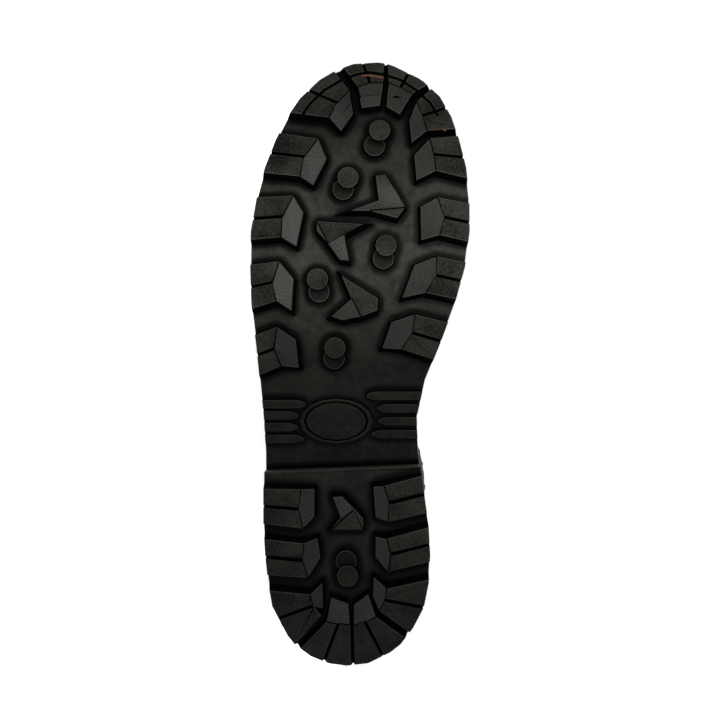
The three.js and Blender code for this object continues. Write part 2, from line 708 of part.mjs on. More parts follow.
const THROAT_START = 9.4;
const THROAT_DEPTH = 24;
const STAY_WIDTH = 17;
const UPPER_BASE = GAP;
const WELT_TOP = GAP + WELT_THICKNESS;
const throat = () =>
  ridgePrism(THROAT_START, SECTIONS.length - 1, THROAT_DEPTH, THROAT_DEPTH, THROAT_WIDTH / 2);

function upper() {
  return form(0, COLLAR_SECTION)
    .subtract(form(-UPPER_WALL))
    .subtract(throat())
    .subtract(below(UPPER_BASE));
}

function welt() {
  return layered([
    { inset: WELT_INSET, height: (y) => soleTop(y) + GAP },
    { inset: WELT_INSET, height: (y) => soleTop(y) + WELT_TOP },
  ]).subtract(form(GAP));
}

function insole() {
  return form(-UPPER_WALL - GAP).intersect(below(GAP + INSOLE_THICKNESS)).subtract(below(GAP));
}

const TONGUE_START = THROAT_START - 0.9;
const TONGUE_END = COLLAR_SECTION + 0.7;
const TONGUE_SIDE = 15;
function tongue() {
  const outer = -UPPER_WALL - GAP;
  const reach = ridgePrism(
    TONGUE_START, TONGUE_END, 2 * THROAT_DEPTH, THROAT_DEPTH, THROAT_WIDTH / 2 + TONGUE_SIDE,
  );
  return shell(outer - TONGUE_THICKNESS, outer).intersect(reach);
}

// The counter seen from the side, in shares of the sole's length and of the shaft's height.
const COUNTER = table(
  ["along", "rise"],
  [
    [-0.1, 0],
    [0.26, 0],
    [0.245, 0.1],
    [0.19, 0.22],
    [0.11, 0.32],
    [-0.1, 0.36],
  ],
);
function heelCounter() {
  const base = soleTop(0) + WELT_TOP + GAP;
  const region = sidePrism(
    COUNTER.map(({ along, rise }) => [along * SOLE_LENGTH, base + rise * SHAFT_HEIGHT]),
  );
  return shell(GAP, GAP + OVERLAY_THICKNESS).intersect(region).subtract(below(WELT_TOP + GAP));
}

// The facing on both sides of the throat, joined round the throat's foot.
const STAY_START = THROAT_START - 0.65;
function eyestay() {
  const halfWidth = THROAT_WIDTH / 2 + STAY_WIDTH;
  const region = ridgePrism(STAY_START, COLLAR_SECTION - 0.05, 2 * THROAT_DEPTH, THROAT_DEPTH, halfWidth);
  return shell(GAP, GAP + OVERLAY_THICKNESS).intersect(region).subtract(throat());
}

// Where the form lies at a distance across from its front ridge, or its BACK, as an angle of a section.
const FRONT = Math.PI / 2;
const BACK = -Math.PI / 2;
function angleAcross(section, across, offset, end = FRONT) {
  const ridge = formPoint(section, end, offset).x;
  let near = end;
  let far = across > 0 ? 0 : 2 * end;
  for (let i = 0; i < HALVINGS; i++) {
    const middle = (near + far) / 2;
    if (Math.abs(formPoint(section, middle, offset).x - ridge) < Math.abs(across)) near = middle;
    else far = middle;
  }
  return near;
}

// The padded cuff, swept round the back of the collar from one side of the facing to the other.
const CUFF_PROFILE = table(
  ["rise", "proud"],
  [
    [0, 0],
    [0.12, 0.6],
    [0.38, 1],
    [0.68, 1],
    [0.92, 0.7],
    [1, 0],
    [0.8, 0],
    [0.6, 0],
    [0.4, 0],
    [0.2, 0],
  ],
);
const CUFF_SEAT = 0.5;
const CUFF_START = { back: COLLAR_SECTION - 1.25, front: COLLAR_SECTION - 3.8 };
const CUFF_END = COLLAR_SECTION + 0.05;
function collarCuff() {
  const clearOfStay = THROAT_WIDTH / 2 + STAY_WIDTH + CUFF_THICKNESS;
  const step = (2 * Math.PI) / RING_POINTS;
  const reach = Math.floor(angleAcross(COLLAR_SECTION, clearOfStay, 0) / step);
  const rings = [];
  for (let i = reach; i >= -RING_POINTS / 2 - reach; i--)
    rings.push(
      CUFF_PROFILE.map(({ rise, proud }) => {
        const start = mix(CUFF_START.back, CUFF_START.front, (1 + Math.sin(i * step)) / 2);
        return formPoint(mix(start, CUFF_END, rise), i * step, CUFF_SEAT + CUFF_THICKNESS * proud);
      }),
    );
  return loft(rings);
}

// Rows of eyelets beside the throat, each on the facing and square to the form there.
const EYELET_FIRST = THROAT_START + 0.7;
const EYELET_LAST = COLLAR_SECTION - 0.6;
const EYELET_SEAT = 0.45;
const eyeletSection = (pair) => mix(EYELET_FIRST, EYELET_LAST, pair / (EYELET_PAIRS - 1));
const EYELET_ACROSS = THROAT_WIDTH / 2 + STAY_WIDTH / 2;

function eyeletPlace(pair, side) {
  const section = eyeletSection(pair);
  const offset = GAP + OVERLAY_THICKNESS + EYELET_SEAT;
  const angle = angleAcross(section, side * EYELET_ACROSS, offset);
  const point = formPoint(section, angle, offset);
  const alongForm = formPoint(section + 0.1, angle, offset).sub(point);
  const aroundForm = formPoint(section, angle + 0.05, offset).sub(point);
  return { point, normal: aroundForm.cross(alongForm).normalize() };
}

function eyelet(pair, side) {
  const edge = EYELET_THICKNESS / 2;
  const profile = [
    [EYELET_BORE, 0],
    [EYELET_RADIUS, 0],
    [EYELET_RADIUS - edge, EYELET_THICKNESS],
    [EYELET_BORE, EYELET_THICKNESS],
    [EYELET_BORE, 0],
  ].map(([radius, height]) => new THREE.Vector2(radius, height));
  const { point, normal } = eyeletPlace(pair, side);
  const turn = new THREE.Quaternion().setFromUnitVectors(new THREE.Vector3(0, 1, 0), normal);
  const ring = new THREE.LatheGeometry(profile, EYELET_SIDES);
  return solid(ring.applyQuaternion(turn).translate(point.x, point.y, point.z));
}

// The lace: a bar at the foot and crossings up to the top pair, all lifted over the facing.
const LACE_LIFT = 1.4;
const LACE_POINTS = 8;
function lace() {
  const offset = GAP + OVERLAY_THICKNESS + LACE_RADIUS + LACE_LIFT;
  const across = EYELET_ACROSS - EYELET_RADIUS - LACE_RADIUS - 3 * GAP;
  const circle = new THREE.Shape();
  circle.absarc(0, 0, LACE_RADIUS, 0, 2 * Math.PI, false);
  const bar = (pairFrom, pairTo, side) => {
    const points = [];
    for (let i = -1; i <= LACE_POINTS + 1; i++) {
      const share = i / LACE_POINTS;
      const section = mix(eyeletSection(pairFrom), eyeletSection(pairTo), share);
      const place = mix(-side * across, side * across, share);
      points.push(formPoint(section, angleAcross(section, place, offset), offset));
    }
    const extrudePath = new THREE.CatmullRomCurve3(points, false, "centripetal");
    return solid(new THREE.ExtrudeGeometry(circle, { steps: LACE_STEPS, curveSegments: 2, extrudePath }));
  };
  const bars = [bar(0, 0, 1)];
  for (let pair = 0; pair + 1 < EYELET_PAIRS; pair++)
    for (const side of [1, -1]) bars.push(bar(pair, pair + 1, side));
  return join(bars);
}

// The webbing loop's way over the back of the collar, as sections before or past the collar's, from
// outside the cuff over its top to inside the shaft. Side is 1 outside and 0 inside, lift in thicknesses.
const LOOP_ROUTE = table(
  ["past", "side", "lift"],
  [
    [-1.7, 1, 0],
    [-0.7, 1, 0.5],
    [0.4, 1, -0.5],
    [0.75, 0.5, 0],
    [0.4, 0, 0.5],
    [-0.1, 0, 0],
    [-1, 0, 0],
  ],
);
function pullLoop() {
  const half = LOOP_THICKNESS / 2;
  const middle = COLLAR_SECTION - 0.5;
  const corner = formPoint(middle, angleAcross(middle, LOOP_WIDTH / 2, -UPPER_WALL, BACK), -UPPER_WALL);
  const bow = corner.y - formPoint(middle, BACK, -UPPER_WALL).y;
  const outside = CUFF_SEAT + CUFF_THICKNESS + GAP + half;
  const inside = -UPPER_WALL - 2 * GAP - half - bow;
  const points = LOOP_ROUTE.map(({ past, side, lift }) =>
    formPoint(COLLAR_SECTION + past, BACK, mix(inside, outside, side) + lift * LOOP_THICKNESS),
  );
  const path = new THREE.CatmullRomCurve3(points, false, "centripetal");
  const wide = new THREE.Vector3(LOOP_WIDTH / 2, 0, 0);
  const rings = Array.from({ length: LOOP_STEPS + 1 }, (_, i) => {
    const point = path.getPoint(i / LOOP_STEPS);
    const way = path.getTangent(i / LOOP_STEPS);
    const thick = new THREE.Vector3(0, -way.z, way.y).normalize().multiplyScalar(half);
    const corner = (over, out) =>
      point.clone().addScaledVector(thick, over).addScaledVector(wide, out);
    return [corner(1, 1), corner(1, -1), corner(-1, -1), corner(-1, 1)];
  });
  return loft(rings);
}

// The pieces, standing
const boot = new THREE.Group();
const bodies = [];
function addPiece(name, body, finish, density) {
  const piece = new THREE.Mesh(geometryOf(body), finish);
  piece.name = name;
  boot.add(piece);
  bodies.push({ geometry: piece.geometry, density });
}
const RUBBER_DENSITY = 1.15e-3;
const LEATHER_DENSITY = 0.75e-3;
const FOAM_DENSITY = 0.25e-3;
const BRASS_DENSITY = 8.5e-3;
addPiece("outsole", outsole(), RUBBER, RUBBER_DENSITY);
addPiece("welt", welt(), WELT_LEATHER, LEATHER_DENSITY);
addPiece("insole", insole(), FOAM, FOAM_DENSITY);
addPiece("upper", upper(), LEATHER, LEATHER_DENSITY);
addPiece("tongue", tongue(), TRIM, LEATHER_DENSITY);
addPiece("heel_counter", heelCounter(), TRIM, LEATHER_DENSITY);
addPiece("eyestay", eyestay(), TRIM, LEATHER_DENSITY);
addPiece("collar_cuff", collarCuff(), TEXTILE, FOAM_DENSITY);
addPiece("pull_loop", pullLoop(), TEXTILE, LEATHER_DENSITY);
for (let pair = 0; pair < EYELET_PAIRS; pair++)
  for (const [word, side] of [
    ["outer", 1],
    ["inner", -1],
  ])
    addPiece(`eyelet_${word}_${pair + 1}`, eyelet(pair, side), BRASS, BRASS_DENSITY);
addPiece("lace", lace(), LACE_CORD, LEATHER_DENSITY);

// Weight times place, summed over a closed mesh's tetrahedra about the origin.
function moment({ geometry, density }) {
  const place = geometry.attributes.position;
  const corner = (i) => new THREE.Vector3().fromBufferAttribute(place, geometry.index.getX(i));
  const total = { weight: 0, place: new THREE.Vector3() };
  for (let i = 0; i < geometry.index.count; i += 3) {
    const [a, b, c] = [corner(i), corner(i + 1), corner(i + 2)];
    const weight = (density * a.dot(b.clone().cross(c))) / 6;
    total.weight += weight;
    total.place.addScaledVector(a.add(b).add(c), weight / 4);
  }
  return total;
}

// The way down for the boot as it lies: the direction near its outer side that brings its centre of mass
// lowest over what it lies on, found by ever smaller steps.
function wayDown() {
  const centre = new THREE.Vector3();
  let weight = 0;
  for (const body of bodies) {
    const part = moment(body);
    centre.add(part.place);
    weight += part.weight;
  }
  centre.divideScalar(weight);
  const corners = bodies.flatMap(({ geometry }) => {
    const place = geometry.attributes.position;
    return Array.from({ length: place.count }, (_, i) =>
      new THREE.Vector3().fromBufferAttribute(place, i).sub(centre),
    );
  });
  const towards = ([toToe, up]) => new THREE.Vector3(1, toToe, up).normalize();
  const depth = (slopes) => {
    const down = towards(slopes);
    return corners.reduce((most, corner) => Math.max(most, corner.dot(down)), -Infinity);
  };
  let best = [0, 0];
  for (let step = 0.1; step > 1e-6; step /= 2) {
    for (let moved = true; moved; ) {
      moved = false;
      for (const turn of [0, 1, 2, 3, 4, 5, 6, 7]) {
        const angle = (Math.PI * turn) / 4;
        const next = [best[0] + step * Math.cos(angle), best[1] + step * Math.sin(angle)];
        if (depth(next) < depth(best) - 1e-9) {
          best = next;
          moved = true;
        }
      }
    }
  }
  return towards(best);
}

// Laid on its outer side, toe along +Y and tread facing -X, centred over the origin on the floor.
const down = wayDown();
const floorUp = down.clone().negate();
const toToe = new THREE.Vector3(0, 1, 0).addScaledVector(down, -down.y).normalize();
const toCollar = toToe.clone().cross(floorUp);
const laid = new THREE.Matrix4().makeBasis(toCollar, toToe, floorUp).transpose();
boot.applyMatrix4(laid);
boot.updateMatrixWorld(true);
const reach = new THREE.Box3().setFromObject(boot, true);
const middle = reach.getCenter(new THREE.Vector3());
boot.position.sub(new THREE.Vector3(middle.x, middle.y, reach.min.z));

const part = new THREE.Group();
part.add(boot);
export default part;
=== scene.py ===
# %% [markdown]
# This lesson dresses an insulated right boot that lies on its outer side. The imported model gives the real
# pieces at their real size; here they get their looks. The first cell loads that frame.

# %% Load the frame
import json
import math
import bmesh
import bpy
import numpy as np
from mathutils import Matrix, Vector
from mathutils.bvhtree import BVHTree


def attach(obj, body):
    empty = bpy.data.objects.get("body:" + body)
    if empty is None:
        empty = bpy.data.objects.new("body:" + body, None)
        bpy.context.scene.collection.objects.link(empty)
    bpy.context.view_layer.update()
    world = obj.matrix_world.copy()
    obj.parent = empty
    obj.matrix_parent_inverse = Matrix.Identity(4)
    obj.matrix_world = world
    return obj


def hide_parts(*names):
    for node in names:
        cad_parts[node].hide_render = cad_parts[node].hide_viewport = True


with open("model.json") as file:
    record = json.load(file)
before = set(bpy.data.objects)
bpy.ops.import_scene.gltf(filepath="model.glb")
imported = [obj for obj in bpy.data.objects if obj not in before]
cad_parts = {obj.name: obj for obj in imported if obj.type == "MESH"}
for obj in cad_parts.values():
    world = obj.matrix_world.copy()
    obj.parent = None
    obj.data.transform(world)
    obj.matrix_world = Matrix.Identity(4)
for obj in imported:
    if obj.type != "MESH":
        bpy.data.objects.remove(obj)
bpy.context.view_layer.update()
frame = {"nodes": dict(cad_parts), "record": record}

# %% [markdown]
# A boot is drawn best standing up, with X to its outer side, Y to the toe and Z up from the walking plane.
# The model's flat faces say how the real one lies: two of them are on the walking plane, so their places
# and their common axis give the turn and the shift from the standing boot to the lying one.

# %% The standing boot's frame
MM = 0.001
SOLE_LENGTH = 310.0
BALL_WIDTH = 112.0
HEEL_SPOT = Vector((0.3 * BALL_WIDTH, 0.197 * SOLE_LENGTH, 0.0))
BALL_SPOT = Vector((-0.47 * BALL_WIDTH, 0.715 * SOLE_LENGTH, 0.0))
mounts = {mount["name"]: mount for mount in frame["record"]["mounts"]}
heel_place = Vector(mounts["heel_tread"]["pos_m"])
boot_up = -Vector(mounts["heel_tread"]["axis"]).normalized()
spots_way = (BALL_SPOT - HEEL_SPOT).normalized()
row_way = Vector(mounts["forefoot_tread"]["pos_m"]) - heel_place
row_way = (row_way - boot_up * row_way.dot(boot_up)).normalized()
row_aside = boot_up.cross(row_way)
boot_out = row_way * spots_way.x - row_aside * spots_way.y
boot_toe = row_way * spots_way.y + row_aside * spots_way.x
boot_origin = heel_place - (boot_out * HEEL_SPOT.x + boot_toe * HEEL_SPOT.y) * MM
LAID = Matrix.Translation(boot_origin) @ Matrix((boot_out, boot_toe, boot_up)).transposed().to_4x4()


def laid(x, y, z):
    """A place on the standing boot, in millimetres, as a place in the scene, in metres."""
    return LAID @ Vector((x * MM, y * MM, z * MM))


print("toe points along", [round(v, 4) for v in boot_toe], "up", [round(v, 4) for v in boot_up])

# %% [markdown]
# The photograph looks straight at the tread, toe up. The camera stands on the walking side of the lying
# boot, level with its middle, and is rolled so that the toe is up. Its lens makes the sole as large as it is
# in the photograph. A matrix built from the boot's own directions places it without any guessed angle.

# %% Camera
CAMERA_DISTANCE = 760.0
FRAME_WIDTH = 366.3
FRAME_MIDDLE = (-5.1, 155.6)


def add_object(name, data):
    """Puts new data in the scene as an object."""
    thing = bpy.data.objects.new(name, data)
    bpy.context.scene.collection.objects.link(thing)
    return thing


camera_data = bpy.data.cameras.new("camera")
camera_data.sensor_width = 36.0
camera_data.lens = camera_data.sensor_width * CAMERA_DISTANCE / FRAME_WIDTH
camera_data.clip_start = 0.01
camera = add_object("camera", camera_data)
camera_turn = Matrix((-boot_out, boot_toe, -boot_up)).transposed().to_4x4()
camera.matrix_world = Matrix.Translation(laid(*FRAME_MIDDLE, -CAMERA_DISTANCE)) @ camera_turn
bpy.context.scene.camera = camera
print("lens", round(camera_data.lens, 1), "camera height", round(camera.location.z, 3))

# %% [markdown]
# Every surface gets a finish whose colour, gloss and bump come from noise at the real grain's size. A small
# class stands for one value in a node tree, so that the sums that mix them read like sums. A second one adds
# any node by its kind, and serves the finishes here and the geometry nodes further on.

# %% Node kit
def sum_of(operation, swapped=False):
    """A method that adds one math node, with its two values as they stand or swapped."""

    def method(self, other):
        values = (other, self) if swapped else (self, other)
        return Nodes(self.tree).node("ShaderNodeMath", dict(enumerate(values)), operation=operation)["Value"]

    return method


class Flow:
    """A value in a node tree. Arithmetic on it, from either side, adds the nodes that do that arithmetic."""

    __add__, __radd__ = sum_of("ADD"), sum_of("ADD", swapped=True)
    __sub__, __rsub__ = sum_of("SUBTRACT"), sum_of("SUBTRACT", swapped=True)
    __mul__, __rmul__ = sum_of("MULTIPLY"), sum_of("MULTIPLY", swapped=True)
    high = sum_of("MAXIMUM")

    def __init__(self, tree, socket):
        self.tree = tree
        self.socket = socket

    def step(self, start, end):
        """0 below start, 1 above end and straight between them."""
        wanted = {"Value": self, "From Min": start, "From Max": end}
        return Nodes(self.tree).node("ShaderNodeMapRange", wanted)["Result"]


class Nodes:
    """A node tree, with one way to add any node."""

    def __init__(self, tree):
        self.tree = tree

    def node(self, kind, inputs=None, **settings):
        """Adds a node, feeds its inputs and returns its outputs by name, ready for arithmetic."""
        node = self.tree.nodes.new(kind)
        for name, value in settings.items():
            setattr(node, name, value)
        for name, value in (inputs or {}).items():
            if isinstance(value, Flow):
                self.tree.links.new(value.socket, node.inputs[name])
            else:
                node.inputs[name].default_value = value
        return {out.name: Flow(self.tree, out) for out in reversed(list(node.outputs))}


# %% Finish kit
def srgb(*channels):
    """A linear colour from what a screen shows, 0 to 255."""
    parts = [c / 255 for c in channels]
    return tuple(c / 12.92 if c <= 0.04045 else ((c + 0.055) / 1.055) ** 2.4 for c in parts)


SOCKETS = {
    "rough": "Roughness",
    "metal": "Metallic",
    "specular": "Specular IOR Level",
    "coat": "Coat Weight",
    "coat_rough": "Coat Roughness",
}


class Finish(Nodes):
    """A material under construction around one Principled shader, with its constants set by short names."""

    def __init__(self, name, **constants):
        self.material = bpy.data.materials.new(name)
        self.material.use_nodes = True
        super().__init__(self.material.node_tree)
        self.inputs = self.tree.nodes["Principled BSDF"].inputs
        for constant, value in constants.items():
            self.inputs[SOCKETS[constant]].default_value = value

    def place(self):
        return self.node("ShaderNodeTexCoord")["Object"]

    def noise(self, size, detail=4.0, rough=0.55, stretch=(1.0, 1.0, 1.0)):
        """Noise whose spots are about size metres across."""
        spot = self.node("ShaderNodeMapping", {"Vector": self.place(), "Scale": stretch})["Vector"]
        wanted = {"Vector": spot, "Scale": 1.0 / size, "Detail": detail, "Roughness": rough}
        return self.node("ShaderNodeTexNoise", wanted)["Fac"]

    def pores(self, size):
        """Soft round cells, as leather has them."""
        wanted = {"Vector": self.place(), "Scale": 1.0 / size}
        return self.node("ShaderNodeTexVoronoi", wanted, feature="SMOOTH_F1")["Distance"]

    def wave(self, place, scale, distortion, way):
        """Even bands across a way of the place's own axes."""
        wanted = {"Vector": place, "Scale": scale, "Distortion": distortion}
        return self.node("ShaderNodeTexWave", wanted, bands_direction=way)["Fac"]

    def feed(self, name, value):
        self.tree.links.new(value.socket, self.inputs[name])

    def ramp(self, share, *stops):
        """Feeds the base colour with a ramp of (place, linear colour) stops."""
        ramp = self.tree.nodes.new("ShaderNodeValToRGB")
        self.tree.links.new(share.socket, ramp.inputs["Fac"])
        elements = ramp.color_ramp.elements
        for element, (position, color) in zip(elements, (stops[0], stops[-1])):
            element.position, element.color = position, (*color, 1.0)
        for position, color in stops[1:-1]:
            elements.new(position).color = (*color, 1.0)
        self.tree.links.new(ramp.outputs["Color"], self.inputs["Base Color"])

    def colours(self, share, *stops):
        """The same, with the colours as a screen shows them."""
        self.ramp(share, *((position, srgb(*color)) for position, color in stops))

    def bump(self, height, depth):
        """Height from 0 to 1 stands for a relief that is depth metres deep."""
        self.feed("Normal", self.node("ShaderNodeBump", {"Height": height, "Distance": depth})["Normal"])


print("half grey on a screen is", [round(c, 3) for c in srgb(128, 128, 128)])

# %% Cloth and thread
def nap_finish(name, rough, specular, size, detail, dark, light, depth):
    """A matt finish of cloth or thread: noise from a dark colour to a light one, with its own bump."""
    finish = Finish(name, rough=rough, specular=specular)
    nap = finish.noise(size, detail)
    finish.colours(nap, (0.3, dark), (0.7, light))
    finish.bump(nap, depth)
    return finish.material


# %% [markdown]
# The photograph's background is plain white, as in a shop's picture, and the light on the tread is very
# soft. So the room is white, the floor shines a little itself, which keeps it as white as the room, and a
# small lamp in front of the tread, toward the toe and the arch side, lifts the slanted faces that look at
# it. A larger one lights the leather. A lamp that makes hard shadows would draw lines that aren't there.

# %% Floor and light
FLOOR_REACH = 6.0
FLOOR_GLOW = 0.92
LAMP_TINT = (1.0, 0.975, 0.935)
corners = [(x * FLOOR_REACH, y * FLOOR_REACH, 0.0) for x, y in ((-1, -1), (1, -1), (1, 1), (-1, 1))]
floor_mesh = bpy.data.meshes.new("floor")
floor_mesh.from_pydata(corners, [], [(0, 1, 2, 3)])
floor = add_object("floor", floor_mesh)
floor_finish = Finish("floor", rough=1.0)
floor_finish.inputs["Base Color"].default_value = (0.5, 0.5, 0.5, 1.0)
floor_finish.inputs["Emission Color"].default_value = (1.0, 1.0, 1.0, 1.0)
floor_finish.inputs["Emission Strength"].default_value = FLOOR_GLOW
floor.data.materials.append(floor_finish.material)
world = bpy.data.worlds.new("room")
bpy.context.scene.world = world
world.use_nodes = True
world.node_tree.nodes["Background"].inputs["Color"].default_value = (1.0, 1.0, 1.0, 1.0)
bpy.context.scene.view_settings.view_transform = "Standard"


def soft_lamp(name, place, target, size, power):
    """A square, slightly warm lamp at a place, turned to a target."""
    lamp_data = bpy.data.lights.new(name, "AREA")
    lamp_data.size = size
    lamp_data.energy = power
    lamp_data.color = LAMP_TINT
    lamp = add_object(name, lamp_data)
    lamp.location = place
    lamp.rotation_euler = (Vector(target) - Vector(place)).to_track_quat("-Z", "Y").to_euler()
    print(name, power, "W from", [round(v, 2) for v in place])


soft_lamp("tread_lamp", laid(-105, 228, -260), laid(-10, 205, 0), 0.1, 0.82)
soft_lamp("upper_lamp", (0.7, -0.9, 0.9), (0.05, 0.0, 0.05), 0.8, 10.0)

# %% [markdown]
# Moulded rubber is matt where it was pressed against a grained mould and smoother on slanted faces. One
# recipe gives all its kinds: a tint, soft patches and a fine pebble. Painted shade makes the tone fall off
# toward the heel and the toe tip along the boot. Ambient occlusion, which measures how closed in a place
# is, paints shade as a black strip of floor at the foot of every lug.

# %% Rubber finishes
HEEL_END = boot_origin.y
RECESS_REACH = 0.004
AO_SHADE_STEP = (0.86, 0.95)
SHADE_FALLOFF = {"ball": (0.155, 0.2), "toe": (0.23, 0.28), "waist": (0.01, 0.07)}


def rubber(name, tint, contrast, rough, grain, depth, specular, streak=0.0, heel=0.6, toe=0.8, shade_step=(0, 1)):
    """Moulded rubber: mottled in soft patches with a fine pebble, with painted shade toward the heel and the toe
    tip and in recesses.
    """
    finish = Finish("rubber_" + name, specular=specular)
    along = finish.node("ShaderNodeSeparateXYZ", {"Vector": finish.place()})["Y"]
    rise = {part: along.step(HEEL_END + low, HEEL_END + high) for part, (low, high) in SHADE_FALLOFF.items()}
    patches = finish.noise(0.02, 3.0)
    pebble = finish.noise(grain, 3.0, 0.6)
    brushed = finish.noise(0.0012, 2.0, stretch=(1.0, 0.12, 1.0))
    share = patches * 0.5 + pebble * (0.5 - streak) + brushed * streak
    # Painted shade: the tone falls off toward the heel and toward the toe tip.
    tone = (1 + (share - 0.5) * (4 * contrast)) * (heel + (1 - heel) * rise["ball"])
    tone = tone * (1 - rise["toe"] * (1 - toe)) * (0.7 + rise["waist"] * 0.3)
    # Painted shade: ambient occlusion blackens the floor at the foot of every lug.
    wanted = {"Distance": RECESS_REACH}
    openness = finish.node("ShaderNodeAmbientOcclusion", wanted, samples=8, only_local=True)["AO"]
    finish.ramp(tone * openness.step(*shade_step) * 0.5, (0.0, (0, 0, 0)), (1.0, [2 * c for c in srgb(*tint)]))
    finish.feed("Roughness", rough + patches * 0.15)
    finish.bump(pebble, depth)
    return finish.material


RUBBER = {
    # Painted shade: the floor and the low discs are blackened near walls by ambient occlusion.
    "web": rubber("web", (37, 36, 33), 0.8, 0.4, 0.004, 0.0003, 0.03, heel=0.26, toe=0.36, shade_step=AO_SHADE_STEP),
    "face": rubber("face", (28, 27, 24), 1.8, 0.6, 0.0009, 0.0009, 0.06),
    "facet": rubber("facet", (17, 15, 11), 1.5, 0.34, 0.0012, 0.0002, 0.15, streak=0.3, heel=0.2),
    # Near-black finish for walls, slot floors and crease grooves: painted shade.
    "wall": rubber("wall", (2, 2, 2), 0.2, 0.8, 0.002, 0.0001, 0.01),
    # Pale finish for rounded edges: painted highlight.
    "rim": rubber("rim", (46, 44, 40), 0.5, 0.5, 0.001, 0.0001, 0.07, heel=0.5),
    "disc": rubber("disc", (26, 26, 22), 1.8, 0.6, 0.0009, 0.0009, 0.06, heel=0.4),
    "low_disc": rubber("low_disc", (18, 17, 15), 0.8, 0.5, 0.002, 0.0002, 0.03, heel=0.4, shade_step=AO_SHADE_STEP),
    "side": rubber("side", (30, 29, 27), 0.3, 0.5, 0.002, 0.0001, 0.15),
}
RUBBER_SLOTS = list(RUBBER)
print("rubber finishes", RUBBER_SLOTS)

# %% [markdown]
# The sole isn't flat: the heel stands high, the arch falls to the forefoot and the toe springs up. Two small
# functions give the sole's upper face and the floor between the lugs at any place along it, so that each
# face of the tread can be judged by its height and tilt against the sole at its own place.

# %% Heights of the sole
HEEL_HEIGHT = 31.0
FOREFOOT_HEIGHT = 14.0
TOE_SPRING = 12.0
PLATE_THICKNESS = 7.5
LUG_HEIGHT = 6.5
HEEL_FRONT = 0.322


def sole_top(y):
    """Height of the sole's upper face at a place along the boot, in millimetres."""
    along = np.asarray(y, dtype=float) / SOLE_LENGTH
    rise = np.clip((0.62 - along) / 0.34, 0.0, 1.0)
    spring = np.clip((along - 0.74) / 0.26, 0.0, None) ** 2
    return FOREFOOT_HEIGHT + (HEEL_HEIGHT - FOREFOOT_HEIGHT) * rise**2 * (3 - 2 * rise) + TOE_SPRING * spring


def web_height(y):
    """Height of the face that the lugs stand on."""
    return LUG_HEIGHT if y < HEEL_FRONT * SOLE_LENGTH else float(sole_top(y)) - PLATE_THICKNESS


def web_down(y):
    """The way that face looks."""
    slope = (web_height(y + 1) - web_height(y - 1)) / 2 if abs(y - HEEL_FRONT * SOLE_LENGTH) > 2 else 0.0
    return Vector((0.0, slope, -1.0)).normalized()


print("sole top", [round(float(sole_top(y)), 1) for y in range(0, 311, 62)])

# %% [markdown]
# Every finished mesh goes the same way: it is drawn standing, in millimetres, then laid into the scene with
# its place in the mesh itself, tied to the boot's one body, named for its material, and set against the
# solids of the model that it stands for.

# %% Placing a piece
def from_solid(name):
    """A solid of the model as a welded mesh, standing and in millimetres."""
    bm = bmesh.new()
    bm.from_mesh(frame["nodes"][name].data)
    bmesh.ops.transform(bm, matrix=Matrix.Scale(1 / MM, 4) @ LAID.inverted(), verts=bm.verts)
    bmesh.ops.remove_doubles(bm, verts=bm.verts, dist=0.01)
    return bm


def place_piece(name, bm, materials, nodes):
    """Lays a standing mesh down and lets it ride on the boot and stand for its solids."""
    bmesh.ops.transform(bm, matrix=LAID @ Matrix.Scale(MM, 4), verts=bm.verts)
    mesh = bpy.data.meshes.new(name)
    bm.to_mesh(mesh)
    bm.free()
    for material in materials:
        mesh.materials.append(material)
    piece = add_object(name, mesh)
    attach(piece, "root")
    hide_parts(*nodes)
    print(name, "has", len(mesh.polygons), "faces; solids that it stands for:", len(nodes))
    return piece


# %% [markdown]
# The outsole is one moulding. Its solid already has every lug, stud, rib and sipe, so the mesh keeps it and
# adds fine creases, rounded edges and strips of painted light and shade. Each face is first sorted by its
# height over the plate, its tilt and its place: grained lug tops, smooth slanted facets, walls and slots painted
# near-black as shade, studs, and the mottled floor between them.

# %% Kinds of tread face
STUD_REACH = 4.1
DISCS = [(0.881, -0.135), (0.802, 0.009), (0.69, -0.164), (0.635, 0.148), (0.522, 0.069), (0.147, 0.011)]
LOW_DISCS = [(0.856, -0.112), (0.783, 0.032), (0.669, -0.152), (0.614, 0.141), (0.504, 0.073), (0.171, 0.018)]
SMOOTH_LEGS = [(0.79, -0.175), (0.685, 0.05), (0.578, 0.02), (0.262, 0.02)]
SMOOTH_REACH = 8.5
MIDDLE_STRIP = (-0.225, 0.19)
MIDDLE_RUN = (0.2, 0.82)
WAIST = (0.35, 0.47)
WAIST_SLOT = (0.4, 1.0)
SIPE_FLOOR = (1.5, 2.4)
GROOVE_FLOOR = (4.92, 5.08)
GROOVE_START = 0.85
WALL_TILT = 38
LOWEST_TOP = 2.85
SIDE_HEIGHT = -0.6


def near_any(middle, places, reach):
    """Whether a place is near one of some (along, out) shares of the sole."""
    spots = (Vector((out * BALL_WIDTH, along * SOLE_LENGTH, middle.z)) for along, out in places)
    return any((middle - spot).length < reach for spot in spots)


def is_slot(height, tilt, along):
    """Whether a face is the floor of a slot: between the waist's ribs, in a sipe or in the toe's groove."""
    low, high = WAIST_SLOT if WAIST[0] < along < WAIST[1] else SIPE_FLOOR
    groove = tilt < 2 and GROOVE_FLOOR[0] < height < GROOVE_FLOOR[1] and along > GROOVE_START
    return (tilt < 10 and low < height < high) or groove


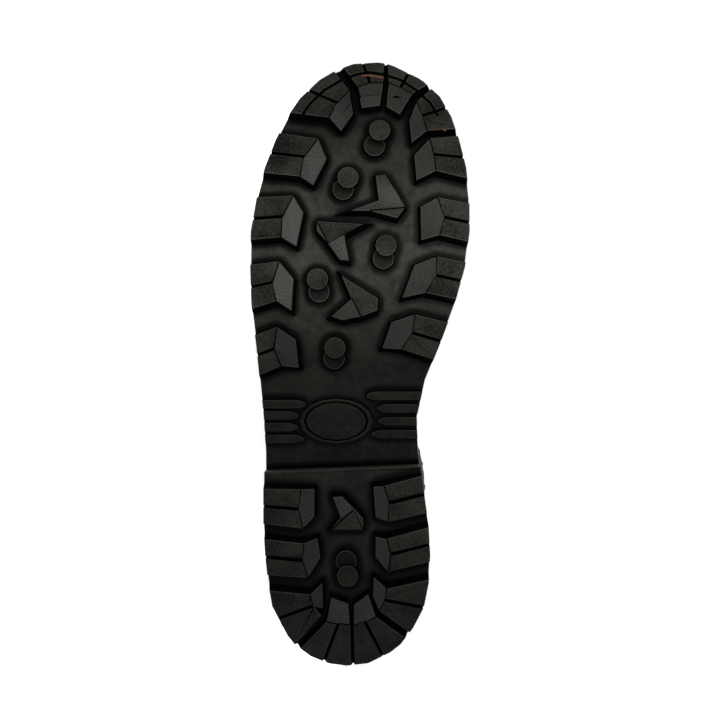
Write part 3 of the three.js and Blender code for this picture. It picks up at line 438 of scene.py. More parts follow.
def tread_face(face):
    """The finish of one face of the tread, from its place, its height over the plate and its tilt."""
    middle = face.calc_center_median()
    height = web_height(middle.y) - middle.z
    tilt = math.degrees(face.normal.angle(web_down(middle.y), 0.0))
    along, out = middle.y / SOLE_LENGTH, middle.x / BALL_WIDTH
    # Slot floors and steep walls take the near-black finish, painted shade.
    if is_slot(height, tilt, along):
        return "wall"
    if height < SIDE_HEIGHT:
        return "side"
    if tilt > WALL_TILT:
        return "wall"
    if height < LOWEST_TOP:
        return "web"
    for kind, places in (("disc", DISCS), ("low_disc", LOW_DISCS)):
        if near_any(middle, places, STUD_REACH):
            return kind
    bent = MIDDLE_STRIP[0] < out < MIDDLE_STRIP[1] and MIDDLE_RUN[0] < along < MIDDLE_RUN[1]
    if bent and near_any(middle, SMOOTH_LEGS, SMOOTH_REACH):
        return "facet"
    if bent and tilt < 12 and not any(edge.calc_length() > 40 for edge in face.edges):
        return "face" if abs(middle.x) < 26 and height > 5.0 else "facet"
    return "facet" if tilt > 3.5 or height < 5.4 else "face"


def kind_of(face):
    return RUBBER_SLOTS[face.material_index]


def set_kind(faces, kind):
    for face in faces:
        face.material_index = RUBBER_SLOTS.index(kind)


print("studs", len(DISCS) + len(LOW_DISCS))

# %% Sorting the tread
tread = from_solid("outsole")
bmesh.ops.dissolve_limit(tread, angle_limit=math.radians(1.2), verts=tread.verts, edges=tread.edges)
tread.normal_update()
for face in tread.faces:
    set_kind([face], tread_face(face))
counts = {kind: sum(kind_of(face) == kind for face in tread.faces) for kind in RUBBER_SLOTS}
print("tread faces by kind", counts)

# %% [markdown]
# At the heel's front a pale strip behind its front edge is painted highlight, and a near-black strip in front
# of it is painted shadow. Both are cut from the floor by two planes along the heel's front edge, and take the
# finishes of a lug top and of the black walls and slots.

# %% Painted highlight and shadow at the heel's front
HIGHLIGHT_STRIP = 1.0
SHADOW_STRIP_SHARE = 1.5


def bend(edge):
    """Degrees between the two faces of an edge."""
    return math.degrees(edge.calc_face_angle(0.0))


def reach_across(edge):
    return abs(edge.verts[0].co.x - edge.verts[1].co.x)


front_edges = [
    edge
    for edge in tread.edges
    if abs(edge.verts[0].co.y / SOLE_LENGTH - HEEL_FRONT) < 0.03
    and any(kind_of(face) == "web" for face in edge.link_faces)
    and edge.is_convex
    and bend(edge) > 35
]
front_place, front_end = (vertex.co.copy() for vertex in max(front_edges, key=reach_across).verts)
front_ahead = (front_end - front_place).cross(Vector((0.0, 0.0, 1.0))).normalized()
front_ahead *= math.copysign(1.0, front_ahead.y)
# A pale strip behind the front edge is painted highlight, a black strip before it painted shadow.
for shift, kind in ((-HIGHLIGHT_STRIP, "face"), (HIGHLIGHT_STRIP * SHADOW_STRIP_SHARE, "wall")):
    web = [face for face in tread.faces if kind_of(face) == "web"]
    parts = list({item for face in web for item in (*face.edges, *face.verts)}) + web
    bmesh.ops.bisect_plane(tread, geom=parts, plane_co=front_place + front_ahead * shift, plane_no=front_ahead)
    for face in tread.faces:
        ahead = (face.calc_center_median() - front_place).dot(front_ahead)
        if kind_of(face) == "web" and 0 < ahead / shift < 1:
            set_kind([face], kind)
print("heel front from", front_place.to_tuple(1), "to", front_end.to_tuple(1))

# %% [markdown]
# A lug top meets its slanted facet in a fine groove. Each such crease is bevelled into a strip whose middle
# line is sunk, and the strip is painted near-black as shade. Bevelling keeps the flat faces flat, which a
# sculpted groove wouldn't.

# %% Creases
CREASE_HALF = 0.38
CREASE_DEPTH = 0.7
TOPS = {"face", "facet", "disc", "low_disc"}


def is_crease(edge):
    """Whether an edge lies between a grained lug top and another top that is bent a little against it."""
    kinds = [kind_of(face) for face in edge.link_faces]
    return len(kinds) == 2 and set(kinds) <= TOPS and kinds.count("face") == 1 and 3 < bend(edge) < 30


def bevel_edges(bm, edges, width, segments):
    """Bevels edges and returns the new faces."""
    return bmesh.ops.bevel(
        bm, geom=edges, offset=width, segments=segments, profile=0.5, affect="EDGES", clamp_overlap=False
    )["faces"]


creases = [edge for edge in tread.edges if edge.calc_length() > 1.5 and is_crease(edge)]
groove = set(bevel_edges(tread, creases, CREASE_HALF, 2))
sunk = {v for face in groove for e in face.edges if all(f in groove for f in e.link_faces) for v in e.verts}
for vertex in sunk:
    vertex.co.z += CREASE_DEPTH
# The crease strip is painted near-black, as shade.
set_kind(groove, "wall")
tread.normal_update()
print("creases", len(creases), "sunk places", len(sunk))

# %% [markdown]
# Edges of a moulding are rounded by a third of a millimetre. The bevel's faces take the pale rim finish, a
# painted highlight, so thin light lines draw every lug.

# %% Rounded edges with painted highlights
EDGE_ROUND = 0.32
PLAIN_PAIRS = ({"web", "side"}, {"wall"}, {"side"}, {"wall", "side"})
brows = [
    edge
    for edge in tread.edges
    if len(edge.link_faces) == 2
    and edge.is_convex
    and not any(face in groove for face in edge.link_faces)
    and {kind_of(face) for face in edge.link_faces} not in PLAIN_PAIRS
    and bend(edge) > 35
]
# The rounded edges take the pale rim finish, painted highlight.
set_kind(bevel_edges(tread, brows, EDGE_ROUND, 1), "rim")
for edge in tread.edges:
    edge.smooth = len({face.material_index for face in edge.link_faces}) == 1 and bend(edge) < 28
for face in tread.faces:
    face.smooth = kind_of(face) in ("web", "face", "facet")
tread_tree = BVHTree.FromBMesh(tread)
print("rounded edges", len(brows))
place_piece("outsole_rubber", tread, RUBBER.values(), ["outsole"])

# %% [markdown]
# Everything over the sole is built round a last, a foot-shaped form. The form is a row of sections, from the
# toe tip over the instep and round the heel to the collar, each a rounded oval in its own tilted plane. The
# table gives the same sections as the model's solids, and a smooth curve runs through them here.

# %% The last
SHAFT_HEIGHT = 222.0
COLLAR = 21.0
TOE_SECTIONS = 5.0
FRONT = math.pi / 2
BACK = -math.pi / 2
COLUMNS = "low_along low_rise high_along high_rise centre half widest blunt round lean".split()
SECTIONS = np.array([
    [0.98, -0.06, 0.98, 0.115, -0.09, 0.09, 0.6, 2.4, 2.3, 0],
    [0.971, -0.12, 0.971, 0.155, -0.09, 0.158, 0.62, 2.5, 2.4, 0],
    [0.955, -0.162, 0.955, 0.188, -0.091, 0.226, 0.65, 2.6, 2.5, 0],
    [0.929, -0.162, 0.929, 0.214, -0.092, 0.296, 0.62, 2.6, 2.5, 0],
    [0.893, -0.162, 0.893, 0.232, -0.084, 0.352, 0.59, 2.6, 2.5, -0.01],
    [0.845, -0.162, 0.845, 0.246, -0.074, 0.412, 0.57, 2.6, 2.4, -0.02],
    [0.784, -0.162, 0.784, 0.27, -0.066, 0.442, 0.54, 2.6, 2.3, -0.03],
    [0.716, -0.162, 0.716, 0.308, -0.048, 0.466, 0.49, 2.6, 2.2, -0.035],
    [0.655, -0.162, 0.655, 0.36, -0.03, 0.454, 0.45, 2.6, 2.1, -0.035],
    [0.58, -0.162, 0.61, 0.414, -0.004, 0.418, 0.42, 2.6, 2.05, -0.03],
    [0.477, -0.162, 0.568, 0.464, 0.022, 0.376, 0.42, 2.7, 2, -0.03],
    [0.355, -0.162, 0.531, 0.514, 0.032, 0.352, 0.43, 2.8, 2, -0.03],
    [0.226, -0.153, 0.497, 0.567, 0.024, 0.352, 0.42, 2.9, 2, -0.02],
    [0.103, -0.122, 0.468, 0.626, 0.014, 0.35, 0.42, 2.9, 2, -0.015],
    [0.018, -0.04, 0.448, 0.687, 0.01, 0.347, 0.42, 2.7, 2, -0.01],
    [0.002, 0.081, 0.437, 0.748, 0.006, 0.342, 0.44, 2.4, 2, 0],
    [0.004, 0.207, 0.431, 0.809, 0, 0.338, 0.46, 2.2, 2, 0],
    [0.015, 0.342, 0.426, 0.868, 0, 0.342, 0.47, 2.1, 2, 0],
    [0.026, 0.486, 0.424, 0.92, 0, 0.352, 0.49, 2.1, 2.05, 0],
    [0.029, 0.63, 0.424, 0.958, 0, 0.364, 0.5, 2.1, 2.1, 0],
    [0.024, 0.761, 0.426, 0.99, 0, 0.372, 0.5, 2.1, 2.1, 0],
    [0.019, 0.883, 0.427, 1.013, 0, 0.378, 0.5, 2.1, 2.1, 0],
    [0.013, 1, 0.432, 1.085, 0, 0.382, 0.5, 2.1, 2.1, 0],
])


print("sections", SECTIONS.shape)

# %% The form
def curve(before, start, end, after, share):
    """A place between start and end on the smooth curve through four places."""
    square = 2 * before - 5 * start + 4 * end - after
    cube = 3 * (start - end) + after - before
    return start + 0.5 * ((end - before) * share + square * share**2 + cube * share**3)


def rows_at(section):
    """Rows of the table at fractional sections, on a smooth curve through the whole ones."""
    last = len(SECTIONS) - 1
    index = np.clip(np.floor(section), 0, last - 1).astype(int)
    four = [SECTIONS[np.clip(index + step, 0, last)] for step in (-1, 0, 1, 2)]
    return curve(*four, (section - index)[..., None])


def power_of(value, power):
    """A power that keeps its value's sign."""
    return np.sign(value) * np.abs(value) ** power


def form(section, angle, offset=0.0):
    """Places on the form at an angle of each section, from its widest place on the outer side."""
    section, angle, offset = (np.asarray(a, float) for a in np.broadcast_arrays(section, angle, offset))
    row = dict(zip(COLUMNS, np.moveaxis(rows_at(section), -1, 0)))
    low_y, high_y = row["low_along"] * SOLE_LENGTH, row["high_along"] * SOLE_LENGTH
    low_z = sole_top(low_y) + row["low_rise"] * SHAFT_HEIGHT
    high_z = sole_top(high_y) + row["high_rise"] * SHAFT_HEIGHT
    below = np.sin(angle) < 0
    power = 2 / np.where(below, row["blunt"], row["round"])
    climb = power_of(np.sin(angle), power)
    share = row["widest"] + np.where(below, row["widest"], 1 - row["widest"]) * climb
    share = share + offset * climb / np.hypot(high_y - low_y, high_z - low_z)
    x = (row["centre"] + row["lean"] * np.clip(climb, 0, None)) * BALL_WIDTH
    x = x + (row["half"] * BALL_WIDTH + offset) * power_of(np.cos(angle), power)
    y = low_y + (high_y - low_y) * share + offset * np.clip(1 - section / TOE_SECTIONS, 0, None)
    return np.stack((x, y, low_z + (high_z - low_z) * share), -1)


print("form from", form(0, FRONT).round(1), "to", form(COLLAR, BACK).round(1))

# %% [markdown]
# Pieces are cut to measures taken over the leather, so three helpers turn millimetres into places on the
# form: angles that split a ring evenly, the angle that lies so far beside the middle, and the ways that the
# form faces. A smooth curve through a few places, cut into even lengths, serves loops, laces and the welt.

# %% Measures on the form
RING_FINENESS = 541
SIDE_FINENESS = 241
SECTION_NUDGE = 0.05
ANGLE_NUDGE = 0.03


def even_angles(section, start, end, count):
    """Angles that split each section's ring, from start to end, into pieces of even length."""
    fine = start[:, None] + (end - start)[:, None] * np.linspace(0, 1, RING_FINENESS)
    steps = np.linalg.norm(np.diff(form(section[:, None], fine), axis=1), axis=2)
    run = np.concatenate((np.zeros((len(section), 1)), np.cumsum(steps, axis=1)), axis=1)
    return np.array([np.interp(np.linspace(0, way[-1], count), way, angles) for way, angles in zip(run, fine)])


def angle_beside(section, across, offset=0.0, end=FRONT, from_ridge=False):
    """Angle at which each section lies some millimetres beside the middle, negative to the inner side."""
    section, across = (np.asarray(a, dtype=float) for a in np.broadcast_arrays(section, across))
    angles = np.empty(section.shape)
    for place in np.ndindex(section.shape):
        side = 1.0 if across[place] >= 0 else -1.0
        fine = end - side * math.copysign(1.0, end) * np.linspace(0, math.pi / 2, SIDE_FINENESS)
        out = side * form(section[place], fine, offset)[:, 0]
        angles[place] = np.interp(abs(across[place]) + (out[0] if from_ridge else 0.0), out, fine)
    return angles


def on_form(section, angle, offset):
    """Places on the form and the ways it faces there, for a row of stitches."""
    section, angle = np.asarray(section), np.asarray(angle)
    aside = form(section, angle + ANGLE_NUDGE, offset) - form(section, angle - ANGLE_NUDGE, offset)
    along = form(section + SECTION_NUDGE, angle, offset) - form(section - SECTION_NUDGE, angle, offset)
    outwards = np.cross(aside, along)
    return form(section, angle, offset), outwards / np.linalg.norm(outwards, axis=-1, keepdims=True)


def both_sides(section, across, lift, offset=0.0):
    """The same for two rows, so many millimetres to either side of the form's middle."""
    return [on_form(section, angle_beside(section, side * across, offset), lift) for side in (1, -1)]


def around(values, low, high):
    """0 below low, 1 above high and smooth between them."""
    share = np.clip((values - low) / (high - low), 0.0, 1.0)
    return share**2 * (3 - 2 * share)


print("10 mm beside the middle of the vamp is at", angle_beside(7, 10.0).round(2))

# %% Smooth lines
def run_along(line):
    """How far along a line each of its places is."""
    return np.concatenate(([0.0], np.cumsum(np.linalg.norm(np.diff(line, axis=0), axis=1))))


def at_stops(stops, run, line):
    """Values at stops along a line whose places have a run."""
    return np.stack([np.interp(stops, run, values) for values in np.transpose(line)], -1)


def smooth_line(points, count, closed=False):
    """A smooth curve through points, cut into pieces of even length."""
    points = np.asarray(points, float)
    if closed:
        four = [np.roll(points, shift, axis=0) for shift in (1, 0, -1, -2)]
    else:
        padded = np.vstack((2 * points[0] - points[1], points, 2 * points[-1] - points[-2]))
        four = [padded[first : first + len(points) - 1] for first in range(4)]
    shares = np.linspace(0, 1, 24 if closed else 30, endpoint=False)
    dense = np.stack([curve(*four, share) for share in shares], 1).reshape(-1, points.shape[1])
    dense = np.vstack((dense, dense[:1] if closed else points[-1:]))
    run = run_along(dense)
    return at_stops(np.linspace(0, run[-1], count, endpoint=not closed), run, dense)


print("round the ball", round(float(run_along(form(7, np.linspace(0, 2 * math.pi, 200)))[-1])), "mm")

# %% [markdown]
# Leather, webbing and foam are all sheets here: two nets of quads with a rim between them, which gives every
# piece a real thickness, also where it bends sharply and Solidify would fold. The builders below add nets,
# strips, closed sheets and tubes to a mesh, round its sharp edges, and cut what would reach into the sole.

# %% Builders
def add_strip(bm, first, second, finish=0, closed=False):
    """Joins two lines of vertices with quads."""
    count = len(first)
    for i in range(count if closed else count - 1):
        j = (i + 1) % count
        unique = list(dict.fromkeys((first[i], first[j], second[j], second[i])))
        if len(unique) > 2:
            face = bm.faces.new(unique)
            face.material_index = finish
            face.smooth = True


def add_grid(bm, places, finish=0):
    """Adds a net of quads through rows of places and returns its vertices."""
    net = [[bm.verts.new(place) for place in line] for line in places]
    for line, following in zip(net, net[1:]):
        add_strip(bm, line, following, finish)
    return net


def add_slab(bm, outer, inner, inner_finish=0):
    """Adds a closed sheet between two nets with as many rows and columns."""
    top, under = add_grid(bm, outer), add_grid(bm, inner, inner_finish)
    for end in (0, -1):
        add_strip(bm, top[end], under[end])
        add_strip(bm, [line[end] for line in top], [line[end] for line in under])


def add_tube(bm, places, radius, sides, finish=0):
    """Adds a closed tube along a list of places."""
    places = [Vector(place) for place in places]
    last = len(places) - 1
    ways = [(places[min(i + 1, last)] - places[max(i - 1, 0)]).normalized() for i in range(len(places))]
    aside = ways[0].orthogonal().normalized()
    turns = [2 * math.pi * k / sides for k in range(sides)]
    net = []
    for place, way in zip(places, ways):
        aside = (aside - way * aside.dot(way)).normalized()
        across = way.cross(aside)
        net.append([bm.verts.new(place + (aside * math.cos(t) + across * math.sin(t)) * radius) for t in turns])
    for before, after in zip(net, net[1:]):
        add_strip(bm, before, after, finish, closed=True)
    for ring in (net[0], net[-1]):
        bm.faces.new(ring).material_index = finish


# %% Welding, rounding and cutting
def weld(bm, distance=0.01):
    """Welds a mesh and turns its faces outwards."""
    bmesh.ops.remove_doubles(bm, verts=bm.verts, dist=distance)
    bmesh.ops.recalc_face_normals(bm, faces=bm.faces)


def soften(bm, width, segments=2, least=50.0):
    """Rounds every edge sharper than a number of degrees."""
    bm.normal_update()
    sharp = [edge for edge in bm.edges if len(edge.link_faces) == 2 and bend(edge) > least]
    bmesh.ops.bevel(bm, geom=sharp, offset=width, segments=segments, affect="EDGES", profile=0.5)


def cut_away(bm, place, way):
    """Cuts away what lies beyond a plane."""
    everything = bm.verts[:] + bm.edges[:] + bm.faces[:]
    bmesh.ops.bisect_plane(bm, geom=everything, dist=0.001, plane_co=place, plane_no=way, clear_outer=True)


def cut_sole(bm, rise):
    """Cuts away what lies less than rise over the sole's upper face, and closes the cut of a sheet."""
    for vertex in bm.verts:
        vertex.co.z -= float(sole_top(vertex.co.y))
    cut_away(bm, (0, 0, rise), (0, 0, -1))
    for vertex in bm.verts:
        vertex.co.z += float(sole_top(vertex.co.y))
    bmesh.ops.bridge_loops(bm, edges=[edge for edge in bm.edges if edge.is_boundary])


print("sheets are welded at 0.01 mm and cut along the sole")

# %% [markdown]
# This boot has some eight hundred stitches and fourteen eyelets, so geometry nodes lay them. A tree takes
# points that carry the ways they face, sets one bead or ring on each, makes the copies real and gives them a
# material. Copying by hand would work too, but the tree keeps the shape of a stitch in one place.

# %% Geometry node kit
def point_tree(name, sizes):
    """Starts a tree that works on points and returns its nodes, its inputs and the points."""
    tree = bpy.data.node_groups.new(name, "GeometryNodeTree")
    kinds = {"Points": "Geometry", **dict.fromkeys(sizes, "Float"), "Material": "Material"}
    for socket, kind in kinds.items():
        tree.interface.new_socket(socket, in_out="INPUT", socket_type="NodeSocket" + kind)
    tree.interface.new_socket("Made", in_out="OUTPUT", socket_type="NodeSocketGeometry")
    nodes = Nodes(tree)
    given = nodes.node("NodeGroupInput")
    return nodes, given, nodes.node("GeometryNodeMeshToPoints", {"Mesh": given["Points"]})["Points"]


def stored(nodes, name):
    """A way that the points carry."""
    return nodes.node("GeometryNodeInputNamedAttribute", {"Name": name}, data_type="FLOAT_VECTOR")["Attribute"]


def end_tree(nodes, given, placed):
    """Makes the copies real and gives them their material."""
    real = nodes.node("GeometryNodeRealizeInstances", {"Geometry": placed})["Geometry"]
    smooth = nodes.node("GeometryNodeSetShadeSmooth", {"Geometry": real})["Geometry"]
    dressed = nodes.node("GeometryNodeSetMaterial", {"Geometry": smooth, "Material": given["Material"]})
    nodes.node("NodeGroupOutput", {"Made": dressed["Geometry"]})
    return nodes.tree


def grow(tree, spots, ways, **wanted):
    """Runs a tree on points that carry ways and returns the mesh it makes."""
    mesh = bpy.data.meshes.new("points")
    mesh.from_pydata(np.array(spots).tolist(), [], [])
    for name, values in ways.items():
        mesh.attributes.new(name, "FLOAT_VECTOR", "POINT").data.foreach_set("vector", np.array(values).ravel())
    holder = add_object("grown", mesh)
    modifier = holder.modifiers.new("grown", "NODES")
    modifier.node_group = tree
    for item in tree.interface.items_tree:
        if item.in_out == "INPUT" and item.name in wanted:
            modifier[item.identifier] = wanted[item.name]
    grown = bpy.data.meshes.new_from_object(holder.evaluated_get(bpy.context.evaluated_depsgraph_get()))
    holder.modifiers.remove(modifier)
    bpy.data.objects.remove(holder)
    return grown


# %% Thread
def stitch_tree():
    """Lays one rounded stitch on every point, along its way and flat on its face."""
    nodes, given, points = point_tree("stitches", ("Length", "Thickness"))
    bead = nodes.node("GeometryNodeMeshUVSphere", {"Segments": 8, "Rings": 6, "Radius": 0.5})["Mesh"]
    axes = {"Primary Axis": stored(nodes, "face"), "Secondary Axis": stored(nodes, "way")}
    turn = nodes.node("FunctionNodeAxesToRotation", axes, primary_axis="Z", secondary_axis="X")["Rotation"]
    sizes = {"X": given["Length"], "Y": given["Thickness"], "Z": given["Thickness"]}
    scale = nodes.node("ShaderNodeCombineXYZ", sizes)["Vector"]
    wanted = {"Points": points, "Instance": bead, "Rotation": turn, "Scale": scale}
    return end_tree(nodes, given, nodes.node("GeometryNodeInstanceOnPoints", wanted)["Instances"])


STITCHES = stitch_tree()
thread = nap_finish("thread", 0.7, 0.3, 0.0005, 2.0, (146, 114, 72), (188, 154, 108), 0.0001)


def sew(bm, rows, finish, pitch=3.4, length=2.7, thickness=0.75):
    """Sews rows of stitches onto a mesh. Each row is a line of places and the ways its surface faces."""
    spots, ways, faces = [], [], []
    for places, outwards in rows:
        run = run_along(places)
        count = int(run[-1] // pitch)
        stops = (np.arange(count) + 0.5) * run[-1] / max(count, 1)
        spots.extend(at_stops(stops, run, places))
        ways.extend(at_stops(stops + 0.5, run, places) - at_stops(stops - 0.5, run, places))
        faces.extend(at_stops(stops, run, outwards))
    sizes = {"Length": length, "Thickness": thickness, "Material": thread}
    sewn = grow(STITCHES, spots, {"way": ways, "face": faces}, **sizes)
    sewn.polygons.foreach_set("material_index", [finish] * len(sewn.polygons))
    bm.from_mesh(sewn)
    print("stitches", len(spots))


# %% [markdown]
# Leather shows where it bends. The upper is one skin with a real wall and a soft lining. Walking has pressed
# troughs across the vamp, between the ball of the foot and the laces, and softer ones round the ankle. Each
# trough below is listed: its section, its middle and half width round the boot, its sweep, how wide it is
# in sections, and its depth in millimetres. A ridge of pushed leather rises on both sides of each.

# %% Creases of the upper
TROUGHS = [
    (7.35, 78, 42, -0.2, 0.1, 0.9),
    (7.72, 96, 50, 0.12, 0.12, 1.4),
    (8.08, 84, 56, 0.2, 0.13, 1.7),
    (8.4, 104, 38, 0.1, 0.1, 1.1),
    (8.66, 76, 34, 0.22, 0.1, 1.2),
    (7.9, 30, 22, 0.3, 0.09, 0.8),
    (8.2, 152, 24, 0.3, 0.1, 0.9),
    (11.4, 22, 26, 0.5, 0.18, 1.2),
    (12.3, 158, 28, 0.45, 0.2, 1.3),
    (13.2, 14, 34, 0.35, 0.22, 1.5),
    (13.9, 170, 36, 0.3, 0.22, 1.4),
    (14.9, 24, 30, 0.2, 0.2, 1.1),
    (15.6, 160, 30, -0.2, 0.22, 1.1),
    (16.4, -62, 40, 0.25, 0.2, 1.2),
    (17.1, -112, 38, 0.2, 0.2, 1.1),
]
SEAM_FRONT = 9.0
SEAM_SWEEP = 0.95
SEAM_RISE = 0.7


def seam_section(angle):
    """Section at which the vamp ends over the quarters, round the boot."""
    return SEAM_FRONT + SEAM_SWEEP * (1 - np.sin(angle))


def leather_relief(section, angle):
    """How far the leather stands off the form, and how deep in a crease it lies, from 0 to 1."""
    relief, crease = np.zeros_like(section), np.zeros_like(section)
    for middle, centre, half, sweep, width, depth in TROUGHS:
        turn = (np.degrees(angle) - centre + 180) % 360 - 180
        reach = np.clip(1 - (turn / half) ** 2, 0, 1) ** 1.5
        wander = 0.12 * np.sin(turn / 9 + middle * 5) * width
        away = (section - middle - sweep * (turn / half) ** 2 + wander) / width
        trough = np.exp(-(away**2))
        ridges = np.exp(-((np.abs(away) - 1.9) ** 2))
        relief += reach * depth * (0.45 * ridges - trough)
        crease += reach * trough
    behind = section - seam_section(angle)
    step = SEAM_RISE * np.exp(np.clip(behind, None, 0)) * (1 - around(behind, -0.03, 0.03))
    return relief + step * around(np.sin(angle), -0.95, -0.6), np.clip(crease, 0, 1)


print("troughs", len(TROUGHS), "deepest", max(trough[-1] for trough in TROUGHS), "mm")

# %% [markdown]
# Oiled leather is darker in its pores and lighter where it is rubbed. Patches as wide as a thumb shift its
# tone, cells of a millimetre give the grain, and the creases, stored on the skin, roughen it and darken it
# with painted shade. The sheet's wall and the soft cloth inside are finishes of the same mesh.

# %% Leather and lining
leather = Finish("upper_leather", coat=0.12, coat_rough=0.35)
leather_grain = leather.pores(0.0011)
leather_fine = leather.noise(0.0006, 2.0)
leather_patches = leather.noise(0.035)
leather_crease = leather.node("ShaderNodeAttribute", attribute_name="crease")["Fac"]
# The crease term darkens the colour: painted shade in the troughs.
leather_tone = leather_patches * 0.55 + leather_grain * 0.25 + leather_fine * 0.2 - leather_crease * 0.16
leather.colours(leather_tone, (0.2, (52, 30, 18)), (0.42, (92, 56, 33)), (0.7, (122, 79, 49)))
leather.feed("Roughness", 0.34 + leather_patches * 0.22 + leather_crease * 0.12)
leather.bump(leather_grain * 0.7 + leather_fine * 0.3, 0.00022)
lining = nap_finish("lining_cloth", 0.9, 0.25, 0.0012, 4.0, (38, 36, 35), (74, 70, 66), 0.0006)
print("leather and lining are ready")

# %% [markdown]
# The upper's two skins are nets of rings. Each ring runs round the back, from one side of the throat to the
# other, so the opening for the tongue is left free, and the foremost rings shrink to close the toe.

# %% Upper
UPPER_WALL = 3.8
GAP = 0.3
WELT_THICKNESS = 4.0
THROAT_WIDTH = 22.0
THROAT_START = 9.4
THROAT_ROUND = 0.4
THROAT_BLEND = 3.0
UPPER_ROWS = 230
UPPER_COLUMNS = 176
CAP_ROWS = 7
CAP_BULGE = 3.0


def throat_half(section):
    """Half the throat's opening: round at its foot and even above it."""
    foot = np.clip((section - THROAT_START) / THROAT_ROUND, 0, 1)
    return THROAT_WIDTH / 2 * np.sqrt(1 - (1 - foot) ** 2)


def ring_end(section, half, side, middle):
    """Angles at which each ring ends on a side, half millimetres from the middle."""
    beside = np.where(half > 0.01, angle_beside(section, side * np.maximum(half, THROAT_BLEND)), FRONT)
    return middle + (beside - FRONT) * np.clip(half / THROAT_BLEND, 0, 1)


def with_cap(places, bulge):
    """Rounds off the toe with rings that shrink to its tip."""
    middle = places[0].mean(axis=0)
    turns = np.linspace(math.pi / 2, 0, CAP_ROWS + 1)[:-1]
    rings = [middle + (places[0] - middle) * math.cos(t) + np.array((0, bulge * math.sin(t), 0)) for t in turns]
    return np.concatenate((np.array(rings), places))


print("throat opens to", float(2 * throat_half(COLLAR)), "mm")

# %% The upper's skins
sections = np.linspace(0, COLLAR, UPPER_ROWS)
half_throat = throat_half(sections)
starts = ring_end(sections, half_throat, 1, FRONT)
ends = ring_end(sections, half_throat, -1, FRONT - 2 * math.pi)
angles = even_angles(sections, starts, ends, UPPER_COLUMNS)
net_sections = np.repeat(sections[:, None], UPPER_COLUMNS, axis=1)
relief, creased = leather_relief(net_sections, angles)
upper_bm = bmesh.new()
crease_layer = upper_bm.verts.layers.float.new("crease")
outer_net = add_grid(upper_bm, with_cap(form(net_sections, angles, relief), CAP_BULGE))
inner_net = add_grid(upper_bm, with_cap(form(net_sections, angles, -UPPER_WALL), CAP_BULGE), 1)
for line, marks in zip(outer_net[CAP_ROWS:], creased):
    for vertex, value in zip(line, marks):
        vertex[crease_layer] = value
add_strip(upper_bm, outer_net[-1], inner_net[-1])
opened = [CAP_ROWS + i for i in range(UPPER_ROWS - 1) if half_throat[i + 1] > 0] + [len(outer_net) - 1]
for column in (0, -1):
    add_strip(upper_bm, [outer_net[r][column] for r in opened], [inner_net[r][column] for r in opened])
weld(upper_bm, 0.004)
cut_sole(upper_bm, GAP)
weld(upper_bm, 0.002)
print("upper's open edges", sum(edge.is_boundary for edge in upper_bm.edges))

# %% [markdown]
# Two rows of stitches hold the vamp over the quarters. They follow the seam's edge a few millimetres in
# front of it, and stop over the welt.

# %% Upper seams
SEAM_ROWS = (0.16, 0.3)
SEAM_TURNS = ((1.25, -0.62), (-math.pi + 0.62, -math.pi - 1.25))
SEAM_CLEAR = WELT_THICKNESS + 2.5
for turns in SEAM_TURNS:
    around_seam = np.linspace(*turns, 120)
    seam_rows = []
    for back in SEAM_ROWS:
        where = seam_section(around_seam) - back
        places, outwards = on_form(where, around_seam, leather_relief(where, around_seam)[0] + 0.15)
        clear = places[:, 2] > sole_top(places[:, 1]) + SEAM_CLEAR
        seam_rows.append((places[clear], outwards[clear]))
    sew(upper_bm, seam_rows, 2)
place_piece("upper_leather", upper_bm, (leather.material, lining, thread), ["upper"])

# %% [markdown]
# Stiffer pieces lie over the leather where a boot works hardest. The heel counter cups the heel, the facing
# carries the eyelets, and both are cut from sheet and sewn down by two rows. Their leather is smoother and a
# little darker than the upper's, with a finer grain.

# %% Trim leather
OVERLAY_THICKNESS = 1.8
STAY_TOP = GAP + OVERLAY_THICKNESS
SEWN_LIFT = 0.15
trim = Finish("trim_leather", coat=0.1, coat_rough=0.4)
trim_grain = trim.pores(0.0009)
trim_patches = trim.noise(0.03)
trim_tone = trim_patches * 0.6 + trim_grain * 0.4
trim.colours(trim_tone, (0.2, (40, 24, 16)), (0.45, (70, 43, 27)), (0.75, (96, 61, 39)))
trim.feed("Roughness", 0.38 + trim_patches * 0.24)
trim.bump(trim_grain, 0.0002)
print("overlays are", OVERLAY_THICKNESS, "mm thick")

# %% [markdown]
# The heel counter is a cup whose upper edge falls in a curve from the back of the heel to the arch. A Boolean
# could cut it, but planes are surer: a fan of them along that curve trims a sheet that follows the form. Its
# stitches follow the same curve further in.

# %% Heel counter
COUNTER_FRONT = 0.262
COUNTER_RISE = 0.36
COUNTER_BASE = 2 * GAP + WELT_THICKNESS
COUNTER_NET = 150
EDGE_STEPS = 26
COUNTER_SEAMS = (0.93, 0.87)


def counter_top(along):
    """Height of the counter's upper edge over the welt at a share of the sole's length."""
    share = np.clip(along / COUNTER_FRONT, 0, 1)
    return COUNTER_RISE * (1 - share**2.4) ** 0.62


def form_at(side, along, rise):
    """Sections and angles of the form at places seen from the side, found on a fine net."""
    net_s = np.linspace(10.5, 19.5, 181)
    net_a = np.linspace(0.55, -1.5707, 200)
    net_a = net_a if side > 0 else -math.pi - net_a
    net = form(net_s[:, None], net_a[None, :])
    found = []
    for y, z in zip(along * SOLE_LENGTH, rise):
        row, column = np.unravel_index(np.argmin((net[..., 1] - y) ** 2 + (net[..., 2] - z) ** 2), net.shape[:2])
        found.append((net_s[row], net_a[column]))
    return np.transpose(found)


print("counter rises", counter_top(0) * SHAFT_HEIGHT, "mm over the welt")

